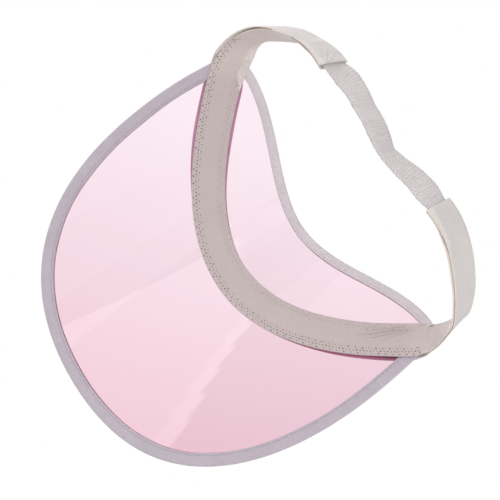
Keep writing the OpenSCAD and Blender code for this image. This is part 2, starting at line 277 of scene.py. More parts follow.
    def edge_inset(self, t, brim, inset, k):
        """A point inside the sheet's edge, measured square to the edge and brought back onto the cone."""
        a, b = np.clip(t - self.NUDGE, -1, 1), np.clip(t + self.NUDGE, -1, 1)
        run = unit(self.on_cone(b, self.edge(b, brim), 0 * t) - self.on_cone(a, self.edge(a, brim), 0 * t))
        inward = (1 if brim else -1) * unit(np.cross(run, self.facing(t)))
        ray = self.on_cone(t, self.edge(t, brim), 0 * t) + column(inset) * inward - self.apex
        q = (self.apex + ray * column(-self.apex[2] / ray[..., 2]))[..., 0] / (self.z.span / 2)
        u = np.linalg.norm(ray, axis=-1) - np.linalg.norm(self.ring(q) - self.apex, axis=-1)
        return self.on_cone(q, u, k)

    def tail(self, s, side):
        """Middle, slope and facing of the left (side 1) or right tail, for s from the corner to its end."""
        p0, p1, p2, p3 = self.tail_points
        s = np.asarray(s, float)
        c = column(s)
        mid = bezier(self.tail_points, c)
        run = unit((1 - c) ** 2 * (p1 - p0) + 2 * (1 - c) * c * (p2 - p1) + c * c * (p3 - p2))
        start = self.slope(np.array(1.0))
        start = unit(start - column((run * start).sum(-1)) * run)
        angle = np.radians(through(self.TAIL_AT, self.LEFT_TURN if side > 0 else self.RIGHT_TURN, s))
        w = column(np.cos(angle)) * start + column(np.sin(angle)) * np.cross(run, start)
        mid, w, n = (a if side > 0 else flip_x(a) for a in (mid, w, np.cross(run, w)))
        bow = np.array(self.LEFT_BOW if side > 0 else self.RIGHT_BOW) * MM
        return mid + np.stack([through(self.TAIL_AT, bow[:, i], s) for i in range(3)], -1), w, n

    def lie(self, t):
        """Height of the band's inner faces over the sheet's middle."""
        f = ease((np.abs(t) - self.CLIMB[0]) / (self.CLIMB[1] - self.CLIMB[0]))
        return self.lie_flat + (self.LIE_CORNER - self.lie_flat) * f

    def lie_along(self, s):
        """The same along a tail: over the binding's ends, close together, then over the elastic."""
        slim = self.LIE_CORNER + (self.LIE_SLIM - self.LIE_CORNER) * ease(s / self.SLIM_OVER)
        mouth = self.MOUTH * ease((s - 1 + self.MOUTH_LONG) / self.MOUTH_LONG)
        opened = ease((s - 1 + self.TAB_FROM * self.SEWN_IN) / (self.TAB_RISE * self.SEWN_IN))
        return slim + (self.lie_tab - slim) * opened + mouth

    def band(self, layer):
        """Even stations from the right tail's end to the left one's: middle, slope, facing, lie and run.

        The lining (layer 1) and the cover (layer -1) of the left tail open like a book from the brim's side."""
        t = crowded(self.FRONT_STATIONS)
        s = np.linspace(0, 1, self.TAIL_STATIONS + 1)[1:]
        half = self.z.band_w / 2
        mid, w, n = self.tail(s, 1)
        angle = column(layer * np.radians(through(self.TAIL_AT, self.LEFT_OPEN, s)) / 2)
        open_w = np.cos(angle) * w - np.sin(angle) * n
        left = mid + half * (w - open_w), open_w, np.cos(angle) * n + np.sin(angle) * w
        right = [a[::-1] for a in self.tail(s, -1)]
        front = self.ring(t), self.slope(t), self.facing(t)
        rows = [np.concatenate(parts) for parts in zip(right, front, left)]
        lies = np.concatenate([self.lie_along(s)[::-1], self.lie(t), self.lie_along(s)])
        run = lengths(rows[0])
        run = run - np.interp(0, self.ring(t)[:, 0], run[len(s):len(s) + len(t)])
        corner = run[len(s) + len(t) - 1]
        even = np.linspace(run[0], run[-1], int(np.ptp(run) / self.STATION))
        rows = [np.stack([np.interp(even, run, a[:, i]) for i in range(3)], -1) for a in rows]
        reach = int(3 * self.CORNER_SOFT / self.STATION)
        kernel = np.exp(-(np.arange(-reach, reach + 1) * self.STATION / self.CORNER_SOFT) ** 2 / 2)
        near = column(bump(np.abs(even), corner, self.CORNER_OVER))
        for i in (0, 1):
            wide = np.pad(rows[i], ((reach, reach), (0, 0)), mode="reflect", reflect_type="odd")
            soft = np.stack([np.convolve(wide[:, j], kernel / kernel.sum(), "valid") for j in range(3)], -1)
            rows[i] = rows[i] + near * (soft - rows[i])
        along = unit(np.gradient(rows[0], axis=0))
        slopes = unit(rows[1] - column((rows[1] * along).sum(-1)) * along)
        return rows[0], slopes, unit(np.cross(along, slopes)), np.interp(even, run, lies), even

    def bridge(self, f):
        """The elastic's middle between the tails, for f from the left tail to the right one."""
        a = self.TAIL_END + self.BRIDGE_REACH * self.end_heading
        place = bezier((self.TAIL_END, a, flip_x(a), flip_x(self.TAIL_END)), column(f))
        return place + column(through(self.BRIDGE_AT, self.BRIDGE_STRAY, f)) * self.STRAY_WAY * MM

    def elastic(self, steps):
        """Stations along the elastic from inside the left tail to inside the right, and the share outside."""
        lead = self.LEAD
        f = np.linspace(0, 1, steps)
        mids, slopes, facings = np.zeros((3, steps, 3))
        for i, x in enumerate(f):
            if x < lead or x > 1 - lead:
                part = x / lead if x < lead else (1 - x) / lead
                m, w, n = self.tail(1 - self.SEWN_IN * (1 - part), 1 if x < 0.5 else -1)
            else:
                g = (x - lead) / (1 - 2 * lead)
                m = self.bridge(g)
                run = unit(self.bridge(min(1, g + self.NUDGE)) - self.bridge(max(0, g - self.NUDGE)))
                start = self.tail(1.0, 1)[1]
                w = start * (1 - g) + flip_x(start) * g
                w = unit(w - (w @ run) * run)
                angle = math.radians(through(self.BRIDGE_AT, self.BRIDGE_TURN, g))
                w = math.cos(angle) * w + math.sin(angle) * np.cross(run, w)
                n = unit(np.cross(run, w))
            mids[i], slopes[i], facings[i] = m, w, n
        return mids, slopes, facings, between(f, lead, self.EMERGE, 1 - lead, self.EMERGE), f


# How many waves make a ripple, and what brings their sum to about -1 to 1
RIPPLE_WAVES, RIPPLE_LEVEL = 7, 0.25


def ripple(a, b, seed):
    """A smooth, repeatable wobble over two coordinates, from about -1 to 1."""
    rng = np.random.default_rng(seed)
    total = 0
    for _ in range(RIPPLE_WAVES):
        fa, fb, phase = rng.uniform(-1, 1), rng.uniform(-1, 1), rng.uniform(0, 2 * math.pi)
        total = total + np.sin(fa * a + fb * b + phase)
    return total * RIPPLE_LEVEL


def new_mesh(name, points, faces, uvs=None, material=None, smooth=True):
    """A mesh object at the origin, with a UV for each point if given."""
    mesh = bpy.data.meshes.new(name)
    mesh.from_pydata([tuple(p) for p in points], [], faces)
    if uvs is not None:
        layer = mesh.uv_layers.new(name="UVMap")
        corner = np.empty(len(mesh.loops), np.int32)
        mesh.loops.foreach_get("vertex_index", corner)
        layer.data.foreach_set("uv", np.asarray(uvs, np.float32)[corner].ravel())
    mesh.polygons.foreach_set("use_smooth", [smooth] * len(mesh.polygons))
    if material is not None:
        mesh.materials.append(material)
    mesh.validate()
    mesh.update()
    piece = bpy.data.objects.new(name, mesh)
    bpy.context.collection.objects.link(piece)
    return piece


def outward(piece):
    """Turns the faces of a closed mesh outwards."""
    bm = bmesh.new()
    bm.from_mesh(piece.data)
    bmesh.ops.recalc_face_normals(bm, faces=bm.faces)
    if bm.calc_volume(signed=True) < 0:
        bmesh.ops.reverse_faces(bm, faces=bm.faces)
    bm.to_mesh(piece.data)
    bm.free()
    return piece


def loft(name, rings, material, uvs=None):
    """A closed solid through closed loops of points whose first half faces the second half."""
    rows, cols = rings.shape[:2]
    grid = np.arange(rows * cols).reshape(rows, cols)
    faces = []
    for i in range(rows - 1):
        for j in range(cols):
            k = (j + 1) % cols
            faces.append((grid[i, j], grid[i + 1, j], grid[i + 1, k], grid[i, k]))
    for row in (0, rows - 1):
        for j in range(cols // 2 - 1):
            faces.append((grid[row, j], grid[row, j + 1], grid[row, cols - 2 - j], grid[row, cols - 1 - j]))
    faces = [tuple(int(x) for x in f) for f in faces]
    flat_uv = None if uvs is None else uvs.reshape(-1, 2)
    return outward(new_mesh(name, rings.reshape(-1, 3), faces, flat_uv, material))


def strip(mids, slopes, facings, profile):
    """Loops of points along a band. profile gives each station's offsets across (u) and out (k)."""
    u, k = profile
    return mids[:, None] + u[..., None] * slopes[:, None] + k[..., None] * facings[:, None]


def material_nodes(name):
    """An empty node material with its Principled shader and output joined."""
    m = bpy.data.materials.new(name)
    m.use_nodes = True
    tree = m.node_tree
    tree.nodes.clear()
    out = tree.nodes.new("ShaderNodeOutputMaterial")
    shader = tree.nodes.new("ShaderNodeBsdfPrincipled")
    tree.links.new(shader.outputs["BSDF"], out.inputs["Surface"])
    return m, tree, shader, out


def add(tree, kind, **inputs):
    """A node with its inputs set or linked by name; values of other names are set on the node itself."""
    node = tree.nodes.new(kind)
    for key, value in inputs.items():
        numbered = key.startswith("in")
        socket = node.inputs[int(key[2:])] if numbered else node.inputs.get(key.replace("_", " "))
        if socket is None:
            setattr(node, key, value)
        elif isinstance(value, bpy.types.NodeSocket):
            tree.links.new(value, socket)
        else:
            socket.default_value = value
    return node


def cloth_group():
    """A weave for all fabrics: mottled colour, thread ribs and their height, from a UV in metres."""
    found = bpy.data.node_groups.get("Fine weave")
    if found:
        return found
    group = bpy.data.node_groups.new("Fine weave", "ShaderNodeTree")
    face = group.interface
    for name, kind, value in (
        ("Vector", "NodeSocketVector", None), ("Color", "NodeSocketColor", (0.5, 0.5, 0.5, 1)),
        ("Rib pitch", "NodeSocketFloat", 0.0006), ("Rib share", "NodeSocketFloat", 0.5),
        ("Mottle", "NodeSocketFloat", 0.1), ("Roughness", "NodeSocketFloat", 0.7)):
        socket = face.new_socket(name=name, in_out="INPUT", socket_type=kind)
        if value is not None:
            socket.default_value = value
    for name, kind in (("Color", "NodeSocketColor"), ("Roughness", "NodeSocketFloat"),
                       ("Height", "NodeSocketFloat")):
        face.new_socket(name=name, in_out="OUTPUT", socket_type=kind)
    ends = add(group, "NodeGroupInput")
    out = add(group, "NodeGroupOutput")
    split = add(group, "ShaderNodeSeparateXYZ", Vector=ends.outputs["Vector"])
    turns = add(group, "ShaderNodeMath", operation="DIVIDE", in0=math.tau, in1=ends.outputs["Rib pitch"])
    waves = []
    for axis in ("X", "Y"):
        angle = add(group, "ShaderNodeMath", operation="MULTIPLY", in0=split.outputs[axis],
                    in1=turns.outputs[0])
        waves.append(add(group, "ShaderNodeMath", operation="SINE", in0=angle.outputs[0]))
    ribs = add(group, "ShaderNodeMix", data_type="FLOAT")
    group.links.new(ends.outputs["Rib share"], ribs.inputs[0])
    group.links.new(waves[0].outputs[0], ribs.inputs[2])
    group.links.new(waves[1].outputs[0], ribs.inputs[3])
    place = ends.outputs["Vector"]
    noise = add(group, "ShaderNodeTexNoise", Vector=place, Scale=420.0, Detail=4.0, Roughness=0.6)
    slubs = add(group, "ShaderNodeTexNoise", Vector=place, Scale=60.0, Detail=3.0, Roughness=0.55)
    mottle = add(group, "ShaderNodeMath", operation="ADD", in0=noise.outputs["Fac"], in1=slubs.outputs["Fac"])
    centred = add(group, "ShaderNodeMath", operation="SUBTRACT", in0=mottle.outputs[0], in1=1.0)
    ribbed = add(group, "ShaderNodeMath", operation="MULTIPLY_ADD", in0=ribs.outputs[0], in1=0.12,
                 in2=centred.outputs[0])
    scaled = add(group, "ShaderNodeMath", operation="MULTIPLY_ADD", in0=ribbed.outputs[0],
                 in1=ends.outputs["Mottle"], in2=1.0)
    shade = add(group, "ShaderNodeVectorMath", operation="SCALE", in0=ends.outputs["Color"])
    group.links.new(scaled.outputs[0], shade.inputs["Scale"])
    rough = add(group, "ShaderNodeMath", operation="MULTIPLY_ADD", in0=centred.outputs[0], in1=0.25,
                in2=ends.outputs["Roughness"])
    height = add(group, "ShaderNodeMath", operation="MULTIPLY_ADD", in0=ribs.outputs[0], in1=0.35,
                 in2=noise.outputs["Fac"])
    group.links.new(shade.outputs[0], out.inputs["Color"])
    group.links.new(rough.outputs[0], out.inputs["Roughness"])
    group.links.new(height.outputs[0], out.inputs["Height"])
    return group


# Where along the band its colour changes to the painted light of the tails, and where across it the tails'
# painted edge highlight starts
PAINTED_LIGHT_FROM, PAINTED_LIGHT_TO = 115 * MM, 155 * MM
HIGHLIGHT_FROM, HIGHLIGHT_TO = 8.9 * MM, 9.6 * MM


def blend_colour(tree, share, start, end):
    """The output of a node that goes from one colour to another, each a colour or the output of a node."""
    mix = tree.nodes.new("ShaderNodeMix")
    mix.data_type = "RGBA"
    tree.links.new(share, mix.inputs[0])
    for socket, value in ((mix.inputs[6], start), (mix.inputs[7], end)):
        if isinstance(value, tuple):
            socket.default_value = (*value, 1)
        else:
            tree.links.new(value, socket)
    return mix.outputs[2]


def cloth(name, base, rib_pitch, rib_share, mottle, roughness, relief, sheen, ends=None, hem=None):
    """A fabric from the shared weave, with painted light towards its ends and a painted highlight along their
    edges, if given.
    """
    m, tree, shader, _ = material_nodes(name)
    uv = add(tree, "ShaderNodeUVMap", uv_map="UVMap")
    weave = tree.nodes.new("ShaderNodeGroup")
    weave.node_tree = cloth_group()
    tree.links.new(uv.outputs["UV"], weave.inputs["Vector"])
    for key, value in (("Color", (*base, 1)), ("Rib pitch", rib_pitch), ("Rib share", rib_share),
                       ("Mottle", mottle), ("Roughness", roughness)):
        weave.inputs[key].default_value = value
    if ends:
        split = add(tree, "ShaderNodeSeparateXYZ", Vector=uv.outputs["UV"])
        shares = []
        for axis, start, end in (("X", PAINTED_LIGHT_FROM, PAINTED_LIGHT_TO), ("Y", HIGHLIGHT_FROM, HIGHLIGHT_TO)):
            away = add(tree, "ShaderNodeMath", operation="ABSOLUTE", in0=split.outputs[axis])
            past = add(tree, "ShaderNodeMapRange", Value=away.outputs[0], From_Min=start, From_Max=end)
            shares.append(past.outputs[0])
        edge = add(tree, "ShaderNodeMath", operation="MULTIPLY", in0=shares[0], in1=shares[1])
        shade = blend_colour(tree, edge.outputs[0], blend_colour(tree, shares[0], base, ends), hem)
        tree.links.new(shade, weave.inputs["Color"])
    lift = add(tree, "ShaderNodeBump", Strength=relief, Distance=0.0002, Height=weave.outputs["Height"])
    tree.links.new(weave.outputs["Color"], shader.inputs["Base Color"])
    tree.links.new(weave.outputs["Roughness"], shader.inputs["Roughness"])
    tree.links.new(lift.outputs["Normal"], shader.inputs["Normal"])
    shader.inputs["Sheen Weight"].default_value = sheen
    shader.inputs["Sheen Roughness"].default_value = 0.4
    shader.inputs["Specular IOR Level"].default_value = 0.35
    return m


# Way in which the plastic's tint grows paler into painted light, and where along it the deep and the pale tint
# are reached
TINT_WAY = (0.96, 0.81, 0.86)
TINT_DEEP, TINT_PALE = -0.22, 0.06


def clear_plastic(name, deep, pale):
    """Clear soft plastic with a faint haze, its deep tint fading across the sheet into a paler painted light.
    Lamps shine through it.
    """
    m, tree, shader, out = material_nodes(name)
    place = add(tree, "ShaderNodeTexCoord").outputs["Object"]
    haze = add(tree, "ShaderNodeTexNoise", Vector=place, Scale=9.0, Detail=3.0)
    slow = add(tree, "ShaderNodeTexNoise", Vector=place, Scale=26.0, Detail=1.0)
    ramp = add(tree, "ShaderNodeMapRange", Value=haze.outputs["Fac"], To_Min=0.025, To_Max=0.05)
    along = add(tree, "ShaderNodeVectorMath", operation="DOT_PRODUCT", in0=place, in1=TINT_WAY)
    fade = add(tree, "ShaderNodeMapRange", Value=along.outputs["Value"], From_Min=TINT_DEEP,
               From_Max=TINT_PALE).outputs["Result"]
    tint = blend_colour(tree, fade, deep, pale)
    # Light that goes straight through meets both faces of the sheet, so each takes the root of the tint
    entry = blend_colour(tree, fade, *(tuple(math.sqrt(c) for c in shade) for shade in (deep, pale)))
    lift = add(tree, "ShaderNodeBump", Strength=0.05, Distance=0.0008, Height=slow.outputs["Fac"])
    tree.links.new(tint, shader.inputs["Base Color"])
    tree.links.new(ramp.outputs["Result"], shader.inputs["Roughness"])
    tree.links.new(lift.outputs["Normal"], shader.inputs["Normal"])
    shader.inputs["Transmission Weight"].default_value = 1.0
    shader.inputs["IOR"].default_value = 1.5
    clear = add(tree, "ShaderNodeBsdfTransparent", Color=entry)
    path = add(tree, "ShaderNodeLightPath")
    passing = add(tree, "ShaderNodeMath", operation="MAXIMUM", in0=path.outputs["Is Shadow Ray"],
                  in1=path.outputs["Is Diffuse Ray"])
    mix = add(tree, "ShaderNodeMixShader", Fac=passing.outputs[0])
    tree.links.new(shader.outputs["BSDF"], mix.inputs[1])
    tree.links.new(clear.outputs["BSDF"], mix.inputs[2])
    tree.links.new(mix.outputs[0], out.inputs["Surface"])
    return m


def plain(name, base, roughness, grain=900.0):
    """A small-scale material for thread and needle holes: its own colour with a fine twist."""
    m, tree, shader, _ = material_nodes(name)
    place = add(tree, "ShaderNodeTexCoord")
    twist = add(tree, "ShaderNodeTexNoise", Vector=place.outputs["Object"], Scale=grain, Detail=2.0)
    level = add(tree, "ShaderNodeMapRange", Value=twist.outputs["Fac"], To_Min=0.82, To_Max=1.18)
    shade = add(tree, "ShaderNodeVectorMath", operation="SCALE", in0=base)
    tree.links.new(level.outputs["Result"], shade.inputs["Scale"])
    tree.links.new(shade.outputs[0], shader.inputs["Base Color"])
    shader.inputs["Roughness"].default_value = roughness
    return m


# Each fabric: its colour's name, rib pitch, share of cross ribs, mottle, roughness, relief and sheen, and where
# it changes along the tails, the names of the colours with painted light towards the ends and a painted edge
# highlight
FABRICS = {
    "Lilac grosgrain": ("binding", 0.9 * MM, 0.15, 0.22, 0.78, 0.5, 0.15),
    "Pale grosgrain": ("pale_binding", 0.9 * MM, 0.15, 0.22, 0.78, 0.5, 0.15),
    "Greige lining": ("lining", 0.5 * MM, 0.5, 0.14, 0.56, 0.22, 0.2, "lining_ends", "hem"),
    "Pale cover": ("cover", 0.5 * MM, 0.5, 0.14, 0.6, 0.22, 0.2, "cover", "hem"),
    "Turned edge": ("turned", 1.1 * MM, 0.1, 0.6, 0.7, 0.4, 0.1),
    # The cover's face against the plastic, in painted shade
    "Stained cover": ("stained", 0.5 * MM, 0.5, 0.14, 0.7, 0.22, 0.0),
    "Ruched knit": ("sleeve", 0.6 * MM, 0.5, 0.2, 0.75, 0.35, 0.25),
    "Woven elastic": ("tape", 0.9 * MM, 0.1, 0.2, 0.75, 0.5, 0.1),
}
# Each thread and needle hole: its colour's name and roughness
THREADS = {
    "Band thread": ("thread", 0.6),
    "Needle hole": ("hole", 0.9),
    "Faint needle hole": ("faint_hole", 0.9),
    "Tape thread": ("seam", 0.65),
    "Pale tape thread": ("pale_seam", 0.65),
}


def finish_of(name):
    """The visor's materials by name, made on first use."""
    found = bpy.data.materials.get(name)
    if found:
        return found
    colours = bpy.context.scene.visor_colours

    def values(row):
        return [tuple(getattr(colours, x)) if isinstance(x, str) else x for x in row]

    if name in FABRICS:
        return cloth(name, *values(FABRICS[name]))
    if name in THREADS:
        return plain(name, *values(THREADS[name]))
    return clear_plastic(name, *values(("sheet", "sheet_pale")))


# Height of the sheet's slow ripples
SHEET_RIPPLE = 0.12 * MM


def make_sheet(shape):
    """The clear plastic sheet: a closed thin shell on the cone, with slow ripples."""
    rows, cols = 260, 56
    t = crowded(rows)
    share = np.linspace(0, 1, cols)
    low, high = shape.edge(t, False), shape.edge(t, True)
    u = low[:, None] + (high - low)[:, None] * share
    tt = np.repeat(t[:, None], cols, 1)
    wave = SHEET_RIPPLE * ripple(tt * 9, u * 55, 4)
    half = shape.z.sheet_t / 2
    near = shape.on_cone(tt, u, half + wave)
    far = shape.on_cone(tt, u, wave - half)
    rings = np.concatenate([near, far[:, ::-1]], 1)
    piece = loft("clear_sheet", rings, finish_of("Clear pink plastic"))
    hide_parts("visor_sheet")
    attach(piece, "visor")
    return piece


# How much wider a folded tape is on the face away from the head, and how much of its width the fold takes
FAR_SIDE_WIDER, FOLD_TAKES = 1.06, 1.2 * MM
# Distance of the seam from the tape's free edge, and how deep and wide it dents the two tapes
SEAM_INSET = 1.4 * MM
BRIM_DENT, FOREHEAD_DENT, DENT_W = 0.16 * MM, 0.05 * MM, 0.5 * MM
# Share of a dent's depth that is left between two needle holes
DENT_LEAST = 0.4
# How a tape's free edge wavers, from which share of its width on, and how its faces swell
TAPE_WAVER, WAVER_FROM, TAPE_CROWN = 0.16 * MM, 0.6, 0.12 * MM
# Where the faces end beside the fold, where the fold is centred, and its outer and inner radius
FACE_TO, FOLD_AT, FOLD_OUTER, FOLD_INNER = 0.4 * MM, 0.1 * MM, 0.75 * MM, 0.25 * MM


def make_binding(shape, brim):
    """Folded tape round one edge of the sheet, with the soft dents that its seam pulls into it."""
    z = shape.z
    rows, face_cols, fold_cols = 420, 15, 9
    t = crowded(rows)
    run = lengths(shape.on_cone(t, shape.edge(t, brim), 0 * t))
    lie = z.sheet_t / 2 + shape.CLEAR
    high = lie + z.bind_t
    tape_w = z.brim_bind_w if brim else z.forehead_bind_w
    seam = tape_w - SEAM_INSET
    flat = np.linspace(tape_w, FACE_TO, face_cols)
    waver = TAPE_WAVER * ripple(run * 160, 0 * run, 21 if brim else 22)
    pull = 0.5 + 0.5 * np.cos(2 * math.pi * run / z.seam_pitch)
    deep = BRIM_DENT if brim else FOREHEAD_DENT

    def point(inset, k):
        return shape.edge_inset(t, brim, inset + 0 * t, k + 0 * t)

    outer, inner, across = [], [], []
    for side in (1, -1):
        insets = flat if side > 0 else flat[::-1] * FAR_SIDE_WIDER
        for inset in insets:
            crown = TAPE_CROWN * np.sin(math.pi * np.clip(inset / tape_w, 0, 1))
            dent = deep * bump(inset, seam, DENT_W) * (DENT_LEAST + (1 - DENT_LEAST) * pull)
            place = inset + waver * ease((inset / tape_w - WAVER_FROM) / (1 - WAVER_FROM))
            outer.append(point(place, side * (high + crown - dent)))
            inner.append(point(place, side * lie))
            across.append(side * inset)
        if side > 0:
            for angle in np.linspace(0, math.pi, fold_cols)[1:-1]:
                outer.append(point(-math.sin(angle) * FOLD_OUTER + FOLD_AT, math.cos(angle) * high))
                inner.append(point(-math.sin(angle) * FOLD_INNER + FOLD_AT, math.cos(angle) * lie))
                across.append(0.0)
    rings = np.concatenate([np.stack(outer, 1), np.stack(inner, 1)[:, ::-1]], 1)
    across = np.array(across + across[::-1])
    uvs = np.stack(np.broadcast_arrays(run[:, None], across[None]), -1)
    name = "brim_tape" if brim else "forehead_tape"
    piece = loft(name, rings, finish_of("Lilac grosgrain" if brim else "Pale grosgrain"), uvs)
    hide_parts("brim_binding" if brim else "forehead_binding")
    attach(piece, "visor")
    return piece


# The band swells between its rows of stitches: how high, how wide they hold it down, and over which width;
# where along the run that ends and over which stretch, and how the cloth wavers
SWELL, SWELL_HELD, SWELL_OVER = 0.45 * MM, 1.5 * MM, 3 * MM
SWELL_TO, SWELL_FADE = 140 * MM, 25 * MM
BAND_WAVER = 0.08 * MM
# The creases meet near each corner, at this run and this distance across, and fan out along the lining
CREASE_MEET = (129 * MM, -9.0 * MM)
CREASE_W, CREASE_RISE, CREASE_FALL = 0.42 * MM, 12 * MM, 5 * MM
# The valley beside each crease: its depth for the crease's height, and its place in widths of the crease
VALLEY, VALLEY_AT = 0.6, 1.4
# Each crease: its side (1 is left), where it starts along the run, its lean and its height
CREASES = (
    (-1, 88 * MM, 0.10, 0.62 * MM),
    (-1, 84 * MM, 0.17, 0.75 * MM),
    (-1, 90 * MM, 0.25, 0.66 * MM),
    (-1, 96 * MM, 0.36, 0.50 * MM),
    (1, 104 * MM, 0.22, 0.34 * MM),
    (1, 108 * MM, 0.40, 0.38 * MM),
)
# Creases of the cover at the left tail's end: where each meets the end, its lean and its height
TAB_CREASES = ((8.5 * MM, -0.35, 0.40 * MM), (7.5 * MM, -0.85, 0.45 * MM), (6.0 * MM, -1.7, 0.40 * MM))
TAB_CREASE_W, TAB_CREASES_TO = 0.55 * MM, 17 * MM
# The hem across each tail's end: its width, its height and the slope of its edge
HEM_W, HEM_H, HEM_RISE = 3.2 * MM, 0.5 * MM, 0.6 * MM


def band_relief(shape, run, v, layer):
    """How far a layer swells outwards: between its stitches, in creases near the corners and at its hems."""
    z = shape.z
    row = z.band_w / 2 - z.zigzag_inset - z.zigzag_w / 2
    swell = SWELL * (1 - bump(np.abs(v), row, SWELL_HELD)) * ease((row - np.abs(v)) / SWELL_OVER)
    fade = ease((SWELL_TO - np.abs(run)) / SWELL_FADE)
    relief = swell * fade + BAND_WAVER * ripple(run * 130, v * 300, 31 + layer)
    for side, start, lean, height in CREASES if layer > 0 else ():
        line = CREASE_MEET[1] + (CREASE_MEET[0] - side * run) * lean
        shown = between(side * run, start, CREASE_RISE, CREASE_MEET[0], CREASE_FALL)
        off = (v - line) / CREASE_W
        relief = relief + height * shown * (bump(off, 0, 1) - VALLEY * bump(off, VALLEY_AT, 1))
    back = np.abs(run).max() - run
    for at, lean, height in TAB_CREASES if layer < 0 else ():
        ridge = bump(v, at + lean * back, TAB_CREASE_W * math.hypot(1, lean))
        relief = relief + height * ease(1 - back / TAB_CREASES_TO) * ridge
    return relief + HEM_H * ease((np.abs(run) - np.abs(run).max() + HEM_W) / HEM_RISE)


# Where on the tails the layers' edges come together, on the forehead's side and the brim's, and how close
MEET_FREE, MEET_BRIM, MEET_OVER = 136 * MM, 130 * MM, 5 * MM
MEET_FROM, MEET_RISE = 7.4 * MM, 2.2 * MM
MEET_SHARE, MEET_GAP = 0.9, 0.05 * MM


def lie_across(lies, run, v):
    """How far a layer lies from the band's middle: on the tails its edges come together past the elastic."""
    start = np.where(v < 0, MEET_FREE, MEET_BRIM)
    together = ease((np.abs(run) - start) / MEET_OVER) * ease((np.abs(v) - MEET_FROM) / MEET_RISE)
    return lies * (1 - MEET_SHARE * together) + MEET_GAP * together


# How far the cover is cut wider than the lining at each edge, and how a layer's edge lies in and wavers
COVER_OVER, EDGE_IN, EDGE_WAVER = 0.4 * MM, 0.1 * MM, 0.12 * MM
# Powers with which a layer grows thin and its relief dies out towards the edges, and the least thickness there
EDGE_POWER, RELIEF_POWER, EDGE_LEAST = 24, 6, 0.04
# Stretches of the band: its side (1 is left), and in millimetres from the middle its start, rise, end and fall
TURNED = (1, 112, 14, 154, 16)
OVER_TAPE = (1, 122, 5, 146, 8)
LEFT_TAIL = (1, 124, 8, 178, 20)
RIGHT_TAIL = (-1, 142, 12, 208, 10)
RIGHT_CORNER = (-1, 122, 8, 154, 10)
# The lining's edge that is turned over at the left corner: its width and thickness, how far it reaches out, and
# how far the cover draws back behind it. Then how far turned it has its own finish, its lift over the forehead
# tape's end, and where that rises
TURNED_W, TURNED_T, TURNED_OUT, COVER_BACK = 5.0 * MM, 0.35 * MM, 0.9 * MM, 1.1 * MM
TURNED_FROM = 0.1
OVER_LIFT, OVER_FROM, OVER_RISE = 0.45 * MM, 3 * MM, 4 * MM
# How far each layer's edge on the brim's side lies out (or in, below 0) along the tails
TAIL_EDGES = {
    1: ((RIGHT_TAIL, 0.9 * MM), (LEFT_TAIL, -0.7 * MM)),
    -1: ((LEFT_TAIL, 0.7 * MM), (RIGHT_TAIL, -0.4 * MM), (RIGHT_CORNER, -0.6 * MM)),
}
# In front the cover shows beside the lining: how far at most, from which run on and over which stretch it grows
SHOWN_LEFT, SHOWN_RIGHT, SHOWN_FROM, SHOWN_OVER = 1.9 * MM, 1.5 * MM, 35 * MM, 55 * MM
SHOWN_FREE = ((0.98 * MM, -5 * MM, 70 * MM), (0.9 * MM, 50 * MM, 45 * MM))
COVER_IN, FRONT_TO, FRONT_FADE = 0.6 * MM, 130 * MM, 14 * MM
# How far from the middle the cover's face against the plastic takes a deep pink: painted shade between the band
# and the sheet
PAINTED_SHADE_TO = 122 * MM


def stretch(run, limits):
    """Where a stretch of the band is: 1 inside it and 0 outside, as a column."""
    side, *places = limits
    return column(between(side * run, *(x * MM for x in places)))


def band_reach(shape, layer, run, v):
    """How far a layer reaches from the band's middle to either side, at each station."""
    reach = shape.z.band_w / 2 - EDGE_IN + EDGE_WAVER * column(ripple(run * 110, 0 * run, 51 + layer)) + 0 * v
    reach = reach + (TURNED_OUT if layer > 0 else -COVER_BACK) * stretch(run, TURNED) * (v < 0)
    for limits, out in TAIL_EDGES[layer]:
        reach = reach + out * stretch(run, limits) * (v > 0)
    if layer > 0:
        return reach
    brim_side = np.where(run > 0, SHOWN_LEFT, SHOWN_RIGHT) * ease((np.abs(run) - SHOWN_FROM) / SHOWN_OVER)
    free_side = sum(most * ease((run - start) / over) for most, start, over in SHOWN_FREE)
    shown = np.where(v > 0, column(brim_side), column(free_side)) - COVER_IN
    return reach + COVER_OVER + column(ease((FRONT_TO - np.abs(run)) / FRONT_FADE)) * shown


